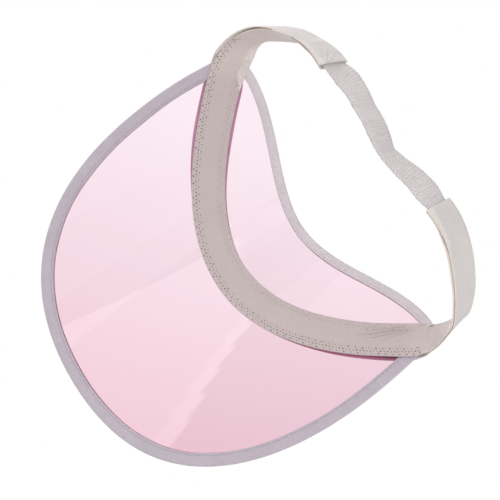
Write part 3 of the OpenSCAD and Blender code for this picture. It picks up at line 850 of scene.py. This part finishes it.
def make_band_layer(shape, layer):
    """One layer of the headband from tail to tail: the lining towards the head, or the cover away from it."""
    z = shape.z
    lining = layer > 0
    mids, slopes, facings, lies, run = shape.band(layer)
    cols = 81
    v = crowded(cols)
    edge_round = np.sqrt(np.clip(1 - np.abs(v) ** EDGE_POWER, EDGE_LEAST, 1))
    reach = band_reach(shape, layer, run, v[None])
    across = v * reach
    run2 = np.repeat(run[:, None], cols, 1)
    relief = np.maximum(0, band_relief(shape, run2, across, layer))
    mid = lie_across(lies[:, None], run2, across) + z.band_t / 2
    turned = stretch(run, TURNED)
    flap = lining & (-across > reach - TURNED_W * turned) & (turned > TURNED_FROM)
    if lining:
        relief = relief + TURNED_T * flap
        mid = mid + OVER_LIFT * stretch(run, OVER_TAPE) * ease((-across - OVER_FROM) / OVER_RISE)
    top = mid + z.band_t / 2 * edge_round + relief * (1 - np.abs(v) ** RELIEF_POWER)
    bottom = mid - z.band_t / 2 * edge_round
    u = np.concatenate([across, across[:, ::-1]], 1)
    k = layer * np.concatenate([top, bottom[:, ::-1]], 1)
    rings = strip(mids, slopes, facings, (u, k))
    uvs = np.stack(np.broadcast_arrays(run[:, None], u), -1)
    part = "lining" if lining else "cover"
    piece = loft(f"{part}_cloth", rings, finish_of("Greige lining" if lining else "Pale cover"), uvs)
    piece.data.materials.append(finish_of("Turned edge" if lining else "Stained cover"))
    for face in piece.data.polygons:
        row, col = divmod(min(face.vertices), 2 * cols)
        if face.index < (len(run) - 1) * 2 * cols:
            # The cover's faces against the plastic near the middle take the painted shade
            stained = not lining and col >= cols and abs(run[row]) < PAINTED_SHADE_TO
            face.material_index = int(stained or (col < cols and bool(flap[row, col])))
    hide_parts(f"band_{part}", f"left_tail_{part}", f"right_tail_{part}")
    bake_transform(piece)
    return piece


def tube_wall(name, outer, inner, material, uvs):
    """A closed wall between an outer and an inner tube of matching loops."""
    rows, cols = outer.shape[:2]
    grid = np.arange(2 * rows * cols).reshape(2, rows, cols)
    turned = np.roll(grid, -1, axis=2)
    quads = [np.stack([grid[0, :-1], grid[0, 1:], turned[0, 1:], turned[0, :-1]], -1),
             np.stack([grid[1, :-1], turned[1, :-1], turned[1, 1:], grid[1, 1:]], -1)]
    ends = [np.stack([grid[0, row], turned[0, row], turned[1, row], grid[1, row]], -1) for row in (0, rows - 1)]
    faces = np.concatenate([q.reshape(-1, 4) for q in quads + ends]).tolist()
    points = np.concatenate([outer.reshape(-1, 3), inner.reshape(-1, 3)])
    return outward(new_mesh(name, points, faces, np.concatenate([uvs, uvs]).reshape(-1, 2), material))


# Where the sleeve turns aside, over which share, and by how much its free side widens and the other narrows
ASIDE_AT, ASIDE_OVER, ASIDE_WIDER, ASIDE_NARROWER = 0.80, 0.06, 0.10, 0.08
# Where its free side is pinched, over which share and by how much
PINCH_AT, PINCH_OVER, PINCH = 0.59, 0.025, 0.07


def sleeve_width(f, share, across):
    """The sleeve's width for its cut: pinched midway on the free side, and full there before the right tail."""
    aside = bump(f, ASIDE_AT, ASIDE_OVER) * share
    pinch = bump(f, PINCH_AT, PINCH_OVER) * share
    free_side = 1 + column(ASIDE_WIDER * aside - PINCH * pinch)
    other_side = 1 - column(ASIDE_NARROWER * aside)
    return np.where(across < 0, free_side, other_side)


# Stations for each gather, how uneven the gathers are in depth and place, and how they slant
GATHER_STEPS, GATHER_DEPTHS, GATHER_STRAY = 14, (0.4, 1.15), 0.6
GATHER_SLANT, GATHER_SKEW, GATHER_SHARP = 0.1, 0.45, 0.7
# How square the sleeve's section is, how far its edges lie in, its cloth, and the scallops of its two edges
SQUARE, SLEEVE_EDGE, SLEEVE_CLOTH = 0.55, 0.3 * MM, 0.3 * MM
SCALLOP, FREE_SCALLOP = 0.9 * MM, 0.3 * MM
# The knit's pattern: how much it is drawn out along the sleeve, and its step from point to point around it
KNIT_ALONG, KNIT_STEP = 1.8, 0.8 * MM
# Every how many of the sleeve's stations the woven elastic has one, and its points across
TAPE_EVERY, TAPE_ACROSS = 7, 6


def make_elastic(shape, side):
    """Half of the ruched sleeve and of the woven elastic in it, from one tail to the middle of the bridge."""
    z = shape.z
    label = "left" if side > 0 else "right"
    steps = GATHER_STEPS * z.gathers + 1
    mids, slopes, facings, share, f = shape.elastic(steps)
    order = slice(0, steps // 2 + 1) if side > 0 else slice(steps // 2, steps)
    run = lengths(mids)[order]
    rng = np.random.default_rng(77)
    phase = math.pi * z.gathers * f + GATHER_STRAY * ripple(f * 90, 0 * f, 61)
    knots = np.arange(z.gathers + 1)
    depth = np.interp(f * z.gathers, knots, rng.uniform(*GATHER_DEPTHS, len(knots)))
    cols = 44
    angle = np.linspace(0, 2 * math.pi, cols, endpoint=False) - math.pi
    lobe_u, lobe_k = (np.sign(a) * np.abs(a) ** SQUARE for a in (np.cos(angle), np.sin(angle)))
    skew = GATHER_SLANT * lobe_u + GATHER_SKEW * ripple(column(f) * 90, lobe_u * 2.2, 62)
    fold = np.abs(np.sin(column(phase) + skew)) ** GATHER_SHARP * column(depth) * column(share)
    k = lobe_k * (z.tape_t / 2 + shape.CLEAR + shape.SLEEVE_T + z.gather_h * fold)
    scallop = np.where(lobe_u > 0, SCALLOP, FREE_SCALLOP) * fold * np.abs(lobe_u) ** 3
    u = lobe_u * (z.sleeve_w / 2 - SLEEVE_EDGE + scallop) * sleeve_width(f, share, lobe_u)
    outer = strip(mids, slopes, facings, (u, k))[order]
    inner = strip(mids, slopes, facings, (u - SLEEVE_CLOTH * lobe_u, k - SLEEVE_CLOTH * lobe_k))[order]
    uvs = np.stack(np.broadcast_arrays(column(run) * KNIT_ALONG, np.arange(cols) * KNIT_STEP), -1)
    sleeve = tube_wall(f"{label}_ruched_sleeve", outer, inner, finish_of("Ruched knit"), uvs)
    v = np.linspace(-1, 1, TAPE_ACROSS)
    tape_u = np.concatenate([v, v[::-1]]) * z.tape_w / 2
    tape_k = np.repeat([1, -1], len(v)) * z.tape_t / 2
    few = slice(order.start, order.stop, TAPE_EVERY)
    narrow = sleeve_width(f, share, np.ones(1))[few]
    tape_rings = strip(mids[few], slopes[few], facings[few], (tape_u * narrow, tape_k + 0 * narrow))
    tape_uv = np.stack(np.broadcast_arrays(column(run[::TAPE_EVERY]), tape_u), -1)
    tape = loft(f"{label}_woven_elastic", tape_rings, finish_of("Woven elastic"), tape_uv)
    for piece, node, slot_name in ((sleeve, "elastic_sleeve", "sleeve"), (tape, "elastic_tape", "tape")):
        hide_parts(node)
        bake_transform(piece)
    return sleeve, tape


def rule_tree(name, sizes):
    """A geometry tree with named inputs for its sizes, and the node that gives them."""
    tree = bpy.data.node_groups.new(name, "GeometryNodeTree")
    for label, kind in (("Geometry", "Geometry"), *sizes, ("Material", "Material")):
        tree.interface.new_socket(name=label, in_out="INPUT", socket_type=f"NodeSocket{kind}")
    tree.interface.new_socket(name="Geometry", in_out="OUTPUT", socket_type="NodeSocketGeometry")
    return tree, tree.nodes.new("NodeGroupInput")


def dress(tree, ends, shape):
    """Ends a geometry tree: makes its instances real and gives them the material."""
    real = add(tree, "GeometryNodeRealizeInstances", Geometry=shape)
    dressed = add(tree, "GeometryNodeSetMaterial", Geometry=real.outputs["Geometry"],
                  Material=ends.outputs["Material"])
    add(tree, "NodeGroupOutput", Geometry=dressed.outputs["Geometry"])
    return tree


def thread_tree():
    """Sweeps a round thread along the edges of its input."""
    found = bpy.data.node_groups.get("Sewn thread")
    if found:
        return found
    tree, ends = rule_tree("Sewn thread", (("Thread radius", "Float"), ("Sides", "Int")))
    path = add(tree, "GeometryNodeMeshToCurve", Mesh=ends.outputs["Geometry"])
    ring = add(tree, "GeometryNodeCurvePrimitiveCircle", Resolution=ends.outputs["Sides"],
               Radius=ends.outputs["Thread radius"])
    swept = add(tree, "GeometryNodeCurveToMesh", Curve=path.outputs["Curve"],
                Profile_Curve=ring.outputs["Curve"], Fill_Caps=True)
    smooth = add(tree, "GeometryNodeSetShadeSmooth", Geometry=swept.outputs["Mesh"])
    return dress(tree, ends, smooth.outputs["Geometry"])


def hole_tree():
    """Sets a flattened bead at each point of its input, facing along the point's own attribute."""
    found = bpy.data.node_groups.get("Needle holes")
    if found:
        return found
    sizes = (("Hole radius", "Float"), ("Flatness", "Float"), ("Smallest", "Float"), ("Largest", "Float"))
    tree, ends = rule_tree("Needle holes", sizes)
    facing = add(tree, "GeometryNodeInputNamedAttribute", data_type="FLOAT_VECTOR", Name="facing")
    turn = add(tree, "FunctionNodeAlignEulerToVector", axis="Z", Vector=facing.outputs["Attribute"])
    bead = add(tree, "GeometryNodeMeshIcoSphere", Radius=ends.outputs["Hole radius"], Subdivisions=1)
    flat = add(tree, "ShaderNodeCombineXYZ", X=1.0, Y=1.0, Z=ends.outputs["Flatness"])
    size = add(tree, "FunctionNodeRandomValue", data_type="FLOAT", in2=ends.outputs["Smallest"],
               in3=ends.outputs["Largest"], Seed=3)
    scaled = add(tree, "ShaderNodeVectorMath", operation="SCALE", in0=flat.outputs["Vector"])
    tree.links.new(size.outputs[1], scaled.inputs["Scale"])
    placed = add(tree, "GeometryNodeInstanceOnPoints", Points=ends.outputs["Geometry"],
                 Instance=bead.outputs["Mesh"], Rotation=turn.outputs["Rotation"],
                 Scale=scaled.outputs["Vector"])
    return dress(tree, ends, placed.outputs["Instances"])


def grow(name, points, edges, tree, values, facing=None):
    """Runs a geometry tree over points and edges, and keeps the result as a plain mesh."""
    base = bpy.data.meshes.new(f"{name}_path")
    base.from_pydata([tuple(p) for p in points], edges, [])
    if facing is not None:
        attribute = base.attributes.new("facing", "FLOAT_VECTOR", "POINT")
        attribute.data.foreach_set("vector", np.asarray(facing, np.float32).ravel())
    path = bpy.data.objects.new(f"{name}_path", base)
    bpy.context.collection.objects.link(path)
    rule = path.modifiers.new("Rule", "NODES")
    rule.node_group = tree
    for item in tree.interface.items_tree:
        if item.in_out == "INPUT" and item.name in values:
            rule[item.identifier] = values[item.name]
    bpy.context.view_layer.update()
    ready = path.evaluated_get(bpy.context.evaluated_depsgraph_get())
    mesh = bpy.data.meshes.new_from_object(ready)
    mesh.name = name
    if "facing" in mesh.attributes:
        mesh.attributes.remove(mesh.attributes["facing"])
    bpy.data.objects.remove(path)
    bpy.data.meshes.remove(base)
    piece = bpy.data.objects.new(name, mesh)
    bpy.context.collection.objects.link(piece)
    if not len(mesh.polygons):
        raise RuntimeError(f"{name} came out empty")
    return piece


THREAD_SIDES = 6


def thread(name, lines, material, diameter):
    """Sewing thread along lists of points."""
    points, edges = [], []
    for line in lines:
        first = len(points)
        points.extend(line)
        edges.extend((first + i, first + i + 1) for i in range(len(line) - 1))
    sizes = {"Thread radius": diameter / 2, "Sides": THREAD_SIDES, "Material": finish_of(material)}
    return grow(name, points, edges, thread_tree(), sizes)


def on_band(shape, run, v, layer=1):
    """Points on a band layer's outer face, and the way they face."""
    mids, slopes, facings, lies, stations = shape.band(layer)

    def at(values):
        return np.stack([np.interp(run, stations, values[:, i]) for i in range(3)], -1)

    calm = 1 - np.abs(v / (shape.z.band_w / 2)) ** RELIEF_POWER
    relief = np.maximum(0, band_relief(shape, run, v, layer)) * calm
    k = layer * (lie_across(np.interp(run, stations, lies), run, v) + shape.z.band_t + relief)
    facing = unit(at(facings))
    return at(mids) + column(v) * unit(at(slopes)) + column(k) * facing, layer * facing


# From where to where each zigzag runs: the brim's (1) past the right corner and a little up the left tail
ZIGZAG_TO = {1: (-127 * MM, 148 * MM), -1: (-117 * MM, 120 * MM)}
# Needle holes for each leg, how far they stray across, and how deep the thread lies there and between them
LEG_STEPS, NEEDLE_STRAY, HOLE_DEEP, THREAD_DEEP = 2, 0.09 * MM, 0.10 * MM, 0.06 * MM
HOLE_SIZES = {"Hole radius": 0.38 * MM, "Flatness": 0.3, "Smallest": 0.75, "Largest": 1.3}


def make_zigzag(shape, edge):
    """A two-step zigzag row along one edge of the lining, with its needle holes."""
    z = shape.z
    row = edge * (z.band_w / 2 - z.zigzag_inset - z.zigzag_w / 2)
    ends = ZIGZAG_TO[edge]
    legs = int(round(2 * (ends[1] - ends[0]) / z.zigzag_pitch))
    needle = np.arange(legs * LEG_STEPS + 1)
    run = np.linspace(*ends, len(needle))
    saw = np.abs(((needle / LEG_STEPS) % 2) - 1)
    rng = np.random.default_rng(5 + edge)
    v = row + (saw - 0.5) * z.zigzag_w + rng.normal(0, NEEDLE_STRAY, len(run))
    low, facing = on_band(shape, run, v)
    half_run, half_v = (run[1:] + run[:-1]) / 2, (v[1:] + v[:-1]) / 2
    high, high_facing = on_band(shape, half_run, half_v)
    path = np.empty((2 * len(run) - 1, 3))
    path[0::2] = low - facing * HOLE_DEEP
    path[1::2] = high - high_facing * THREAD_DEEP
    name = "brim" if edge > 0 else "forehead"
    rows = thread(f"{name}_zigzag_thread", [path], "Band thread", z.thread_d)
    # Dark beads stand in for the needle holes: painted shade inside them
    shade = finish_of("Needle hole" if edge > 0 else "Faint needle hole")
    holes = grow(f"{name}_needle_holes", low, [], hole_tree(), {**HOLE_SIZES, "Material": shade}, facing)
    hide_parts(f"{name}_zigzag")
    for piece in (rows, holes):
        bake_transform(piece)
    return rows, holes


# The tape's stitches: points for measuring the seam, their thread, and its height over the tape at each quarter
SEAM_FINE, SEAM_THREAD = 4000, 0.26 * MM
SEAM_HEIGHTS = np.array([-0.22, 0.1, 0.14, 0.1]) * MM


def make_binding_seam(shape, brim):
    """The lockstitch row that closes one folded tape, on both faces."""
    z = shape.z
    fine = crowded(SEAM_FINE)
    seam = (z.brim_bind_w if brim else z.forehead_bind_w) - SEAM_INSET
    run = lengths(shape.edge_inset(fine, brim, 0 * fine + seam, 0 * fine))
    quarters = int(run[-1] / z.seam_pitch) * len(SEAM_HEIGHTS)
    step = np.arange(quarters + 1)
    needle = np.interp(step / quarters * run[-1], run, fine)
    lift = SEAM_HEIGHTS[step % len(SEAM_HEIGHTS)]
    high = z.sheet_t / 2 + shape.CLEAR + z.bind_t
    inset = 0 * needle + seam
    lines = [shape.edge_inset(needle, brim, inset, side * (high + lift)) for side in (1, -1)]
    name = "brim" if brim else "forehead"
    piece = thread(f"{name}_tape_seam", lines, "Tape thread" if brim else "Pale tape thread", SEAM_THREAD)
    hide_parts(f"{name}_seam")
    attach(piece, "visor")
    return piece


# The bar tack: its legs, half its width, its distance from the tail's end, half its length and its height
TACK_LEGS, TACK_HALF, TACK_IN, TACK_LONG, TACK_HIGH = 26, 6 * MM, 6 * MM, 1.0 * MM, 0.12 * MM
# The loose loop of thread: two places along the tail's end that give its way, its place across, size and turn
LOOP_FROM, LOOP_AT, LOOP_ACROSS = 2 * MM, 0.2 * MM, 9.4 * MM
LOOP_LONG, LOOP_WIDE, LOOP_TURN, LOOP_POINTS = 0.7 * MM, 0.6 * MM, 1.8 * math.pi, 20


def make_bar_tack(shape, side):
    """Dense stitches across a tail's end, through its layers and the elastic, and a loose loop of thread."""
    z = shape.z
    label = "left" if side > 0 else "right"
    end = np.abs(shape.band(1)[4]).max()
    turns = np.where(np.arange(TACK_LEGS + 1) % 2 == 0, -1, 1)
    run = side * (end - TACK_IN + turns * TACK_LONG)
    place, facing = on_band(shape, run, np.linspace(-TACK_HALF, TACK_HALF, TACK_LEGS + 1))
    near_end = side * (end - np.array([LOOP_FROM, LOOP_AT]))
    corner, corner_facing = on_band(shape, near_end, np.full(2, LOOP_ACROSS), -1)
    along = unit(corner[1] - corner[0]) * LOOP_LONG
    across = np.cross(corner_facing[1], unit(along)) * -side * LOOP_WIDE
    spin = column(np.linspace(0, LOOP_TURN, LOOP_POINTS))
    loop = corner[1] + (1 - np.cos(spin)) * along + np.sin(spin) * across
    piece = thread(f"{label}_bar_tack_thread", [place + facing * TACK_HIGH, loop], "Band thread", z.thread_d)
    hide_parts(f"{label}_bar_tack")
    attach(piece, "tails")
    return piece


# The camera's place and its three ways, fitted to the picture's outline, its lens and sensor in millimetres
CAMERA_PLACE = (-0.17414, 0.21742, -0.61042)
CAMERA_RIGHT = (-0.54503, 0.69398, 0.47047)
CAMERA_UP = (0.79746, 0.60234, 0.03535)
CAMERA_BACK = (-0.25885, 0.39444, -0.88171)
CAMERA_LENS, CAMERA_SENSOR = 86.4, 36.0
FLOOR_LEVEL, FLOOR_HALF, FLOOR_SHADE = -1.7, 7.0, (0.86, 0.86, 0.86, 1)
WHITE, ROOM_LIGHT = (1, 1, 1, 1), 0.43
LAMPS_AIM = Vector((0, -0.05, -0.01))
# Ways of the lamps' widths, as (right, up, back) of the camera
LEVEL, UPRIGHT, DEEP = (1.0, 0.0, 0.0), (0.0, 1.0, 0.0), (0.0, 0.0, 1.0)
LOBE_WIDE, LOBE_LOW_WIDE = (-0.378, 0.305, -0.875), (0.846, 0.531, -0.048)
# Each lamp: its name, the way to it in the same terms, the way of its width, distance, width, height and
# brightness
LAMPS = (
    ("lobe_softbox_a", (-0.41, 0.76, 0.50), LOBE_WIDE, 1.4, 0.60, 0.34, 0.45),
    ("lobe_softbox_b", (-0.44, 0.78, 0.40), LOBE_WIDE, 1.39, 0.40, 0.34, 0.60),
    ("lobe_softbox_c", (-0.37, 0.73, 0.58), LOBE_WIDE, 1.41, 0.80, 0.34, 0.30),
    ("lobe_softbox_d", (-0.115, 0.27, 0.955), LOBE_LOW_WIDE, 1.4, 0.20, 0.20, 0.40),
    ("lobe_softbox_e", (-0.13, 0.30, 0.945), LOBE_LOW_WIDE, 1.41, 0.20, 0.34, 0.25),
    ("low_softbox_a", (-0.05, -0.36, 0.93), LEVEL, 1.4, 1.4, 0.34, 1.2),
    ("low_softbox_b", (-0.05, -0.16, 0.98), LEVEL, 1.4, 1.4, 0.20, 1.05),
    ("low_softbox_c", (-0.05, -0.02, 1.00), LEVEL, 1.4, 1.4, 0.20, 0.9),
    ("low_softbox_d", (-0.05, 0.12, 0.99), LEVEL, 1.4, 1.4, 0.20, 0.7),
    ("under_softbox", (0.25, -0.80, 0.55), LEVEL, 1.4, 1.0, 0.8, 1.8),
    ("right_softbox", (0.75, 0.10, 0.65), UPRIGHT, 1.4, 1.0, 0.8, 1.4),
    ("top_softbox", (-0.45, 0.89, 0.05), DEEP, 1.4, 0.55, 1.0, 4.4),
    ("upper_softbox", (0.2, 0.3, -1.0), LEVEL, 1.5, 1.2, 1.2, 1.4),
)
# The key softbox is cut aslant at one end: its middle, the ways of its width and height, half its width and
# height, the end of each strip along the width, how far a brighter rim reaches in from there, the brightness of
# both and their distance
KEY_WAY, KEY_WIDE, KEY_HIGH = (-0.443, 0.396, 0.807), (-0.49, 0.66, -0.57), (-0.756, -0.647, -0.098)
KEY_HALF = (0.314, 0.146)
KEY_ENDS = (0.190, 0.222, 0.245, 0.262, 0.285, 0.297, 0.312)
KEY_RIM, KEY_BRIGHT, RIM_BRIGHT, KEY_AWAY = 0.05, 1.6, 0.8, 1.4


def key_lamps():
    """The key softbox as strips of growing length, each with a brighter rim at its end."""
    way, wide, high = (np.array(v) for v in (KEY_WAY, KEY_WIDE, KEY_HIGH))
    step = 2 * KEY_HALF[1] / len(KEY_ENDS)
    for i, end in enumerate(KEY_ENDS):
        across = way + high * ((i + 0.5) * step - KEY_HALF[1])
        for name, start, bright in (("key", -KEY_HALF[0], KEY_BRIGHT), ("key_rim", end - KEY_RIM, RIM_BRIGHT)):
            middle = (across + wide * (start + end) / 2).tolist()
            size = KEY_AWAY * (end - start), KEY_AWAY * step
            yield f"{name}_softbox_{i + 1}", middle, KEY_WIDE, KEY_AWAY, *size, bright


def make_camera():
    """The camera of the product picture: behind and below the visor, looking up at its inner side."""
    data = bpy.data.cameras.new("Product camera")
    data.lens, data.sensor_width, data.sensor_fit = CAMERA_LENS, CAMERA_SENSOR, "HORIZONTAL"
    camera = bpy.data.objects.new("Product camera", data)
    axes = Matrix((CAMERA_RIGHT, CAMERA_UP, CAMERA_BACK)).transposed()
    camera.matrix_world = Matrix.Translation(CAMERA_PLACE) @ axes.to_4x4()
    bpy.context.collection.objects.link(camera)
    bpy.context.scene.camera = camera


def white_where_seen(tree, white, lit, out):
    """Mixes a white emission, for the camera and clear or glossy pieces, with what lights the object."""
    path = add(tree, "ShaderNodeLightPath")
    first = add(tree, "ShaderNodeMath", operation="MAXIMUM", in0=path.outputs["Is Camera Ray"],
                in1=path.outputs["Is Glossy Ray"])
    seen = add(tree, "ShaderNodeMath", operation="MAXIMUM", in0=first.outputs[0],
               in1=path.outputs["Is Transmission Ray"])
    mix = add(tree, "ShaderNodeMixShader", Fac=seen.outputs[0])
    tree.links.new(lit.outputs[0], mix.inputs[1])
    tree.links.new(white.outputs[0], mix.inputs[2])
    tree.links.new(mix.outputs[0], out.inputs["Surface"])


def make_stage():
    """A pale floor far below, a white surround and soft lamps."""
    scene = bpy.context.scene
    scene.view_settings.view_transform = "Standard"
    world = bpy.data.worlds.new("White studio")
    scene.world = world
    world.use_nodes = True
    tree = world.node_tree
    tree.nodes.clear()
    out = tree.nodes.new("ShaderNodeOutputWorld")
    white = add(tree, "ShaderNodeBackground", Color=WHITE, Strength=1.0)
    lit = add(tree, "ShaderNodeBackground", Color=WHITE, Strength=ROOM_LIGHT)
    white_where_seen(tree, white, lit, out)
    corners = [(x * FLOOR_HALF, y * FLOOR_HALF, FLOOR_LEVEL) for x, y in ((-1, -1), (1, -1), (1, 1), (-1, 1))]
    paint, tree, shader, out = material_nodes("Pale floor")
    shader.inputs["Base Color"].default_value = FLOOR_SHADE
    shader.inputs["Roughness"].default_value = 0.9
    glow = add(tree, "ShaderNodeEmission", Color=WHITE, Strength=1.0)
    white_where_seen(tree, glow, shader, out)
    floor = new_mesh("pale_floor", corners, [(0, 1, 2, 3)], None, paint, False)
    axes = [Vector(a) for a in (CAMERA_RIGHT, CAMERA_UP, CAMERA_BACK)]
    for name, way, width_way, distance, width, height, brightness in (*key_lamps(), *LAMPS):
        data = bpy.data.lights.new(name, "AREA")
        data.shape, data.size, data.size_y = "RECTANGLE", width, height
        data.energy = brightness * math.pi * width * height
        lamp = bpy.data.objects.new(name, data)
        back = sum((c * a for c, a in zip(way, axes)), Vector()).normalized()
        side = sum((c * a for c, a in zip(width_way, axes)), Vector())
        side = (side - side.dot(back) * back).normalized()
        turn = Matrix((side, back.cross(side), back)).transposed().to_4x4()
        lamp.matrix_world = Matrix.Translation(LAMPS_AIM + distance * back) @ turn
        lamp.visible_camera = lamp.visible_transmission = False
        bpy.context.collection.objects.link(lamp)
    make_camera()


class VISOR_OT_sheet(bpy.types.Operator):
    """Build the clear plastic sheet"""

    bl_idname = "visor.sheet"
    bl_label = "Clear Sheet"
    bl_options = {"REGISTER", "UNDO"}

    def execute(self, context):
        make_sheet(VisorShape(context.scene.visor_sizes))
        return {"FINISHED"}


class VISOR_OT_binding(bpy.types.Operator):
    """Build the folded tapes round the sheet's edges and their seams"""

    bl_idname = "visor.binding"
    bl_label = "Edge Binding"
    bl_options = {"REGISTER", "UNDO"}

    def execute(self, context):
        shape = VisorShape(context.scene.visor_sizes)
        for brim in (True, False):
            make_binding(shape, brim)
            make_binding_seam(shape, brim)
        return {"FINISHED"}


class VISOR_OT_headband(bpy.types.Operator):
    """Build the headband's lining and cover with their tails"""

    bl_idname = "visor.headband"
    bl_label = "Headband"
    bl_options = {"REGISTER", "UNDO"}

    def execute(self, context):
        shape = VisorShape(context.scene.visor_sizes)
        for layer in (1, -1):
            make_band_layer(shape, layer)
        return {"FINISHED"}


class VISOR_OT_elastic(bpy.types.Operator):
    """Build the ruched sleeve and the elastic inside it"""

    bl_idname = "visor.elastic"
    bl_label = "Ruched Elastic"
    bl_options = {"REGISTER", "UNDO"}

    def execute(self, context):
        shape = VisorShape(context.scene.visor_sizes)
        for side in (1, -1):
            make_elastic(shape, side)
        return {"FINISHED"}


class VISOR_OT_stitching(bpy.types.Operator):
    """Sew the zigzag rows and the bar tacks"""

    bl_idname = "visor.stitching"
    bl_label = "Stitching"
    bl_options = {"REGISTER", "UNDO"}

    def execute(self, context):
        shape = VisorShape(context.scene.visor_sizes)
        for side in (1, -1):
            make_zigzag(shape, side)
            make_bar_tack(shape, side)
        return {"FINISHED"}


class VISOR_OT_stage(bpy.types.Operator):
    """Set up the floor, the lamps and the camera"""

    bl_idname = "visor.stage"
    bl_label = "Stage"
    bl_options = {"REGISTER", "UNDO"}

    def execute(self, context):
        make_stage()
        return {"FINISHED"}


class VISOR_PT_panel(bpy.types.Panel):
    """Sizes, colours and steps of the visor"""

    bl_label = "Clear Sun Visor"
    bl_idname = "VISOR_PT_panel"
    bl_space_type = "VIEW_3D"
    bl_region_type = "UI"
    bl_category = "Visor"

    def draw(self, context):
        for group in (context.scene.visor_sizes, context.scene.visor_colours):
            box = self.layout.box()
            for name in group.__annotations__:
                box.prop(group, name)
        for step in STEPS:
            self.layout.operator(step.bl_idname)


STEPS = (VISOR_OT_stage, VISOR_OT_sheet, VISOR_OT_binding, VISOR_OT_headband, VISOR_OT_elastic,
         VISOR_OT_stitching)
CLASSES = (VisorSizes, VisorColours, *STEPS, VISOR_PT_panel)


def register():
    for item in CLASSES:
        bpy.utils.register_class(item)
    bpy.types.Scene.visor_sizes = PointerProperty(type=VisorSizes)
    bpy.types.Scene.visor_colours = PointerProperty(type=VisorColours)


def unregister():
    del bpy.types.Scene.visor_colours
    del bpy.types.Scene.visor_sizes
    for item in reversed(CLASSES):
        bpy.utils.unregister_class(item)


def main():
    register()
    for step in (bpy.ops.visor.stage, bpy.ops.visor.sheet, bpy.ops.visor.binding, bpy.ops.visor.headband,
                 bpy.ops.visor.elastic, bpy.ops.visor.stitching):
        step()


if __name__ == "__main__":
    main()
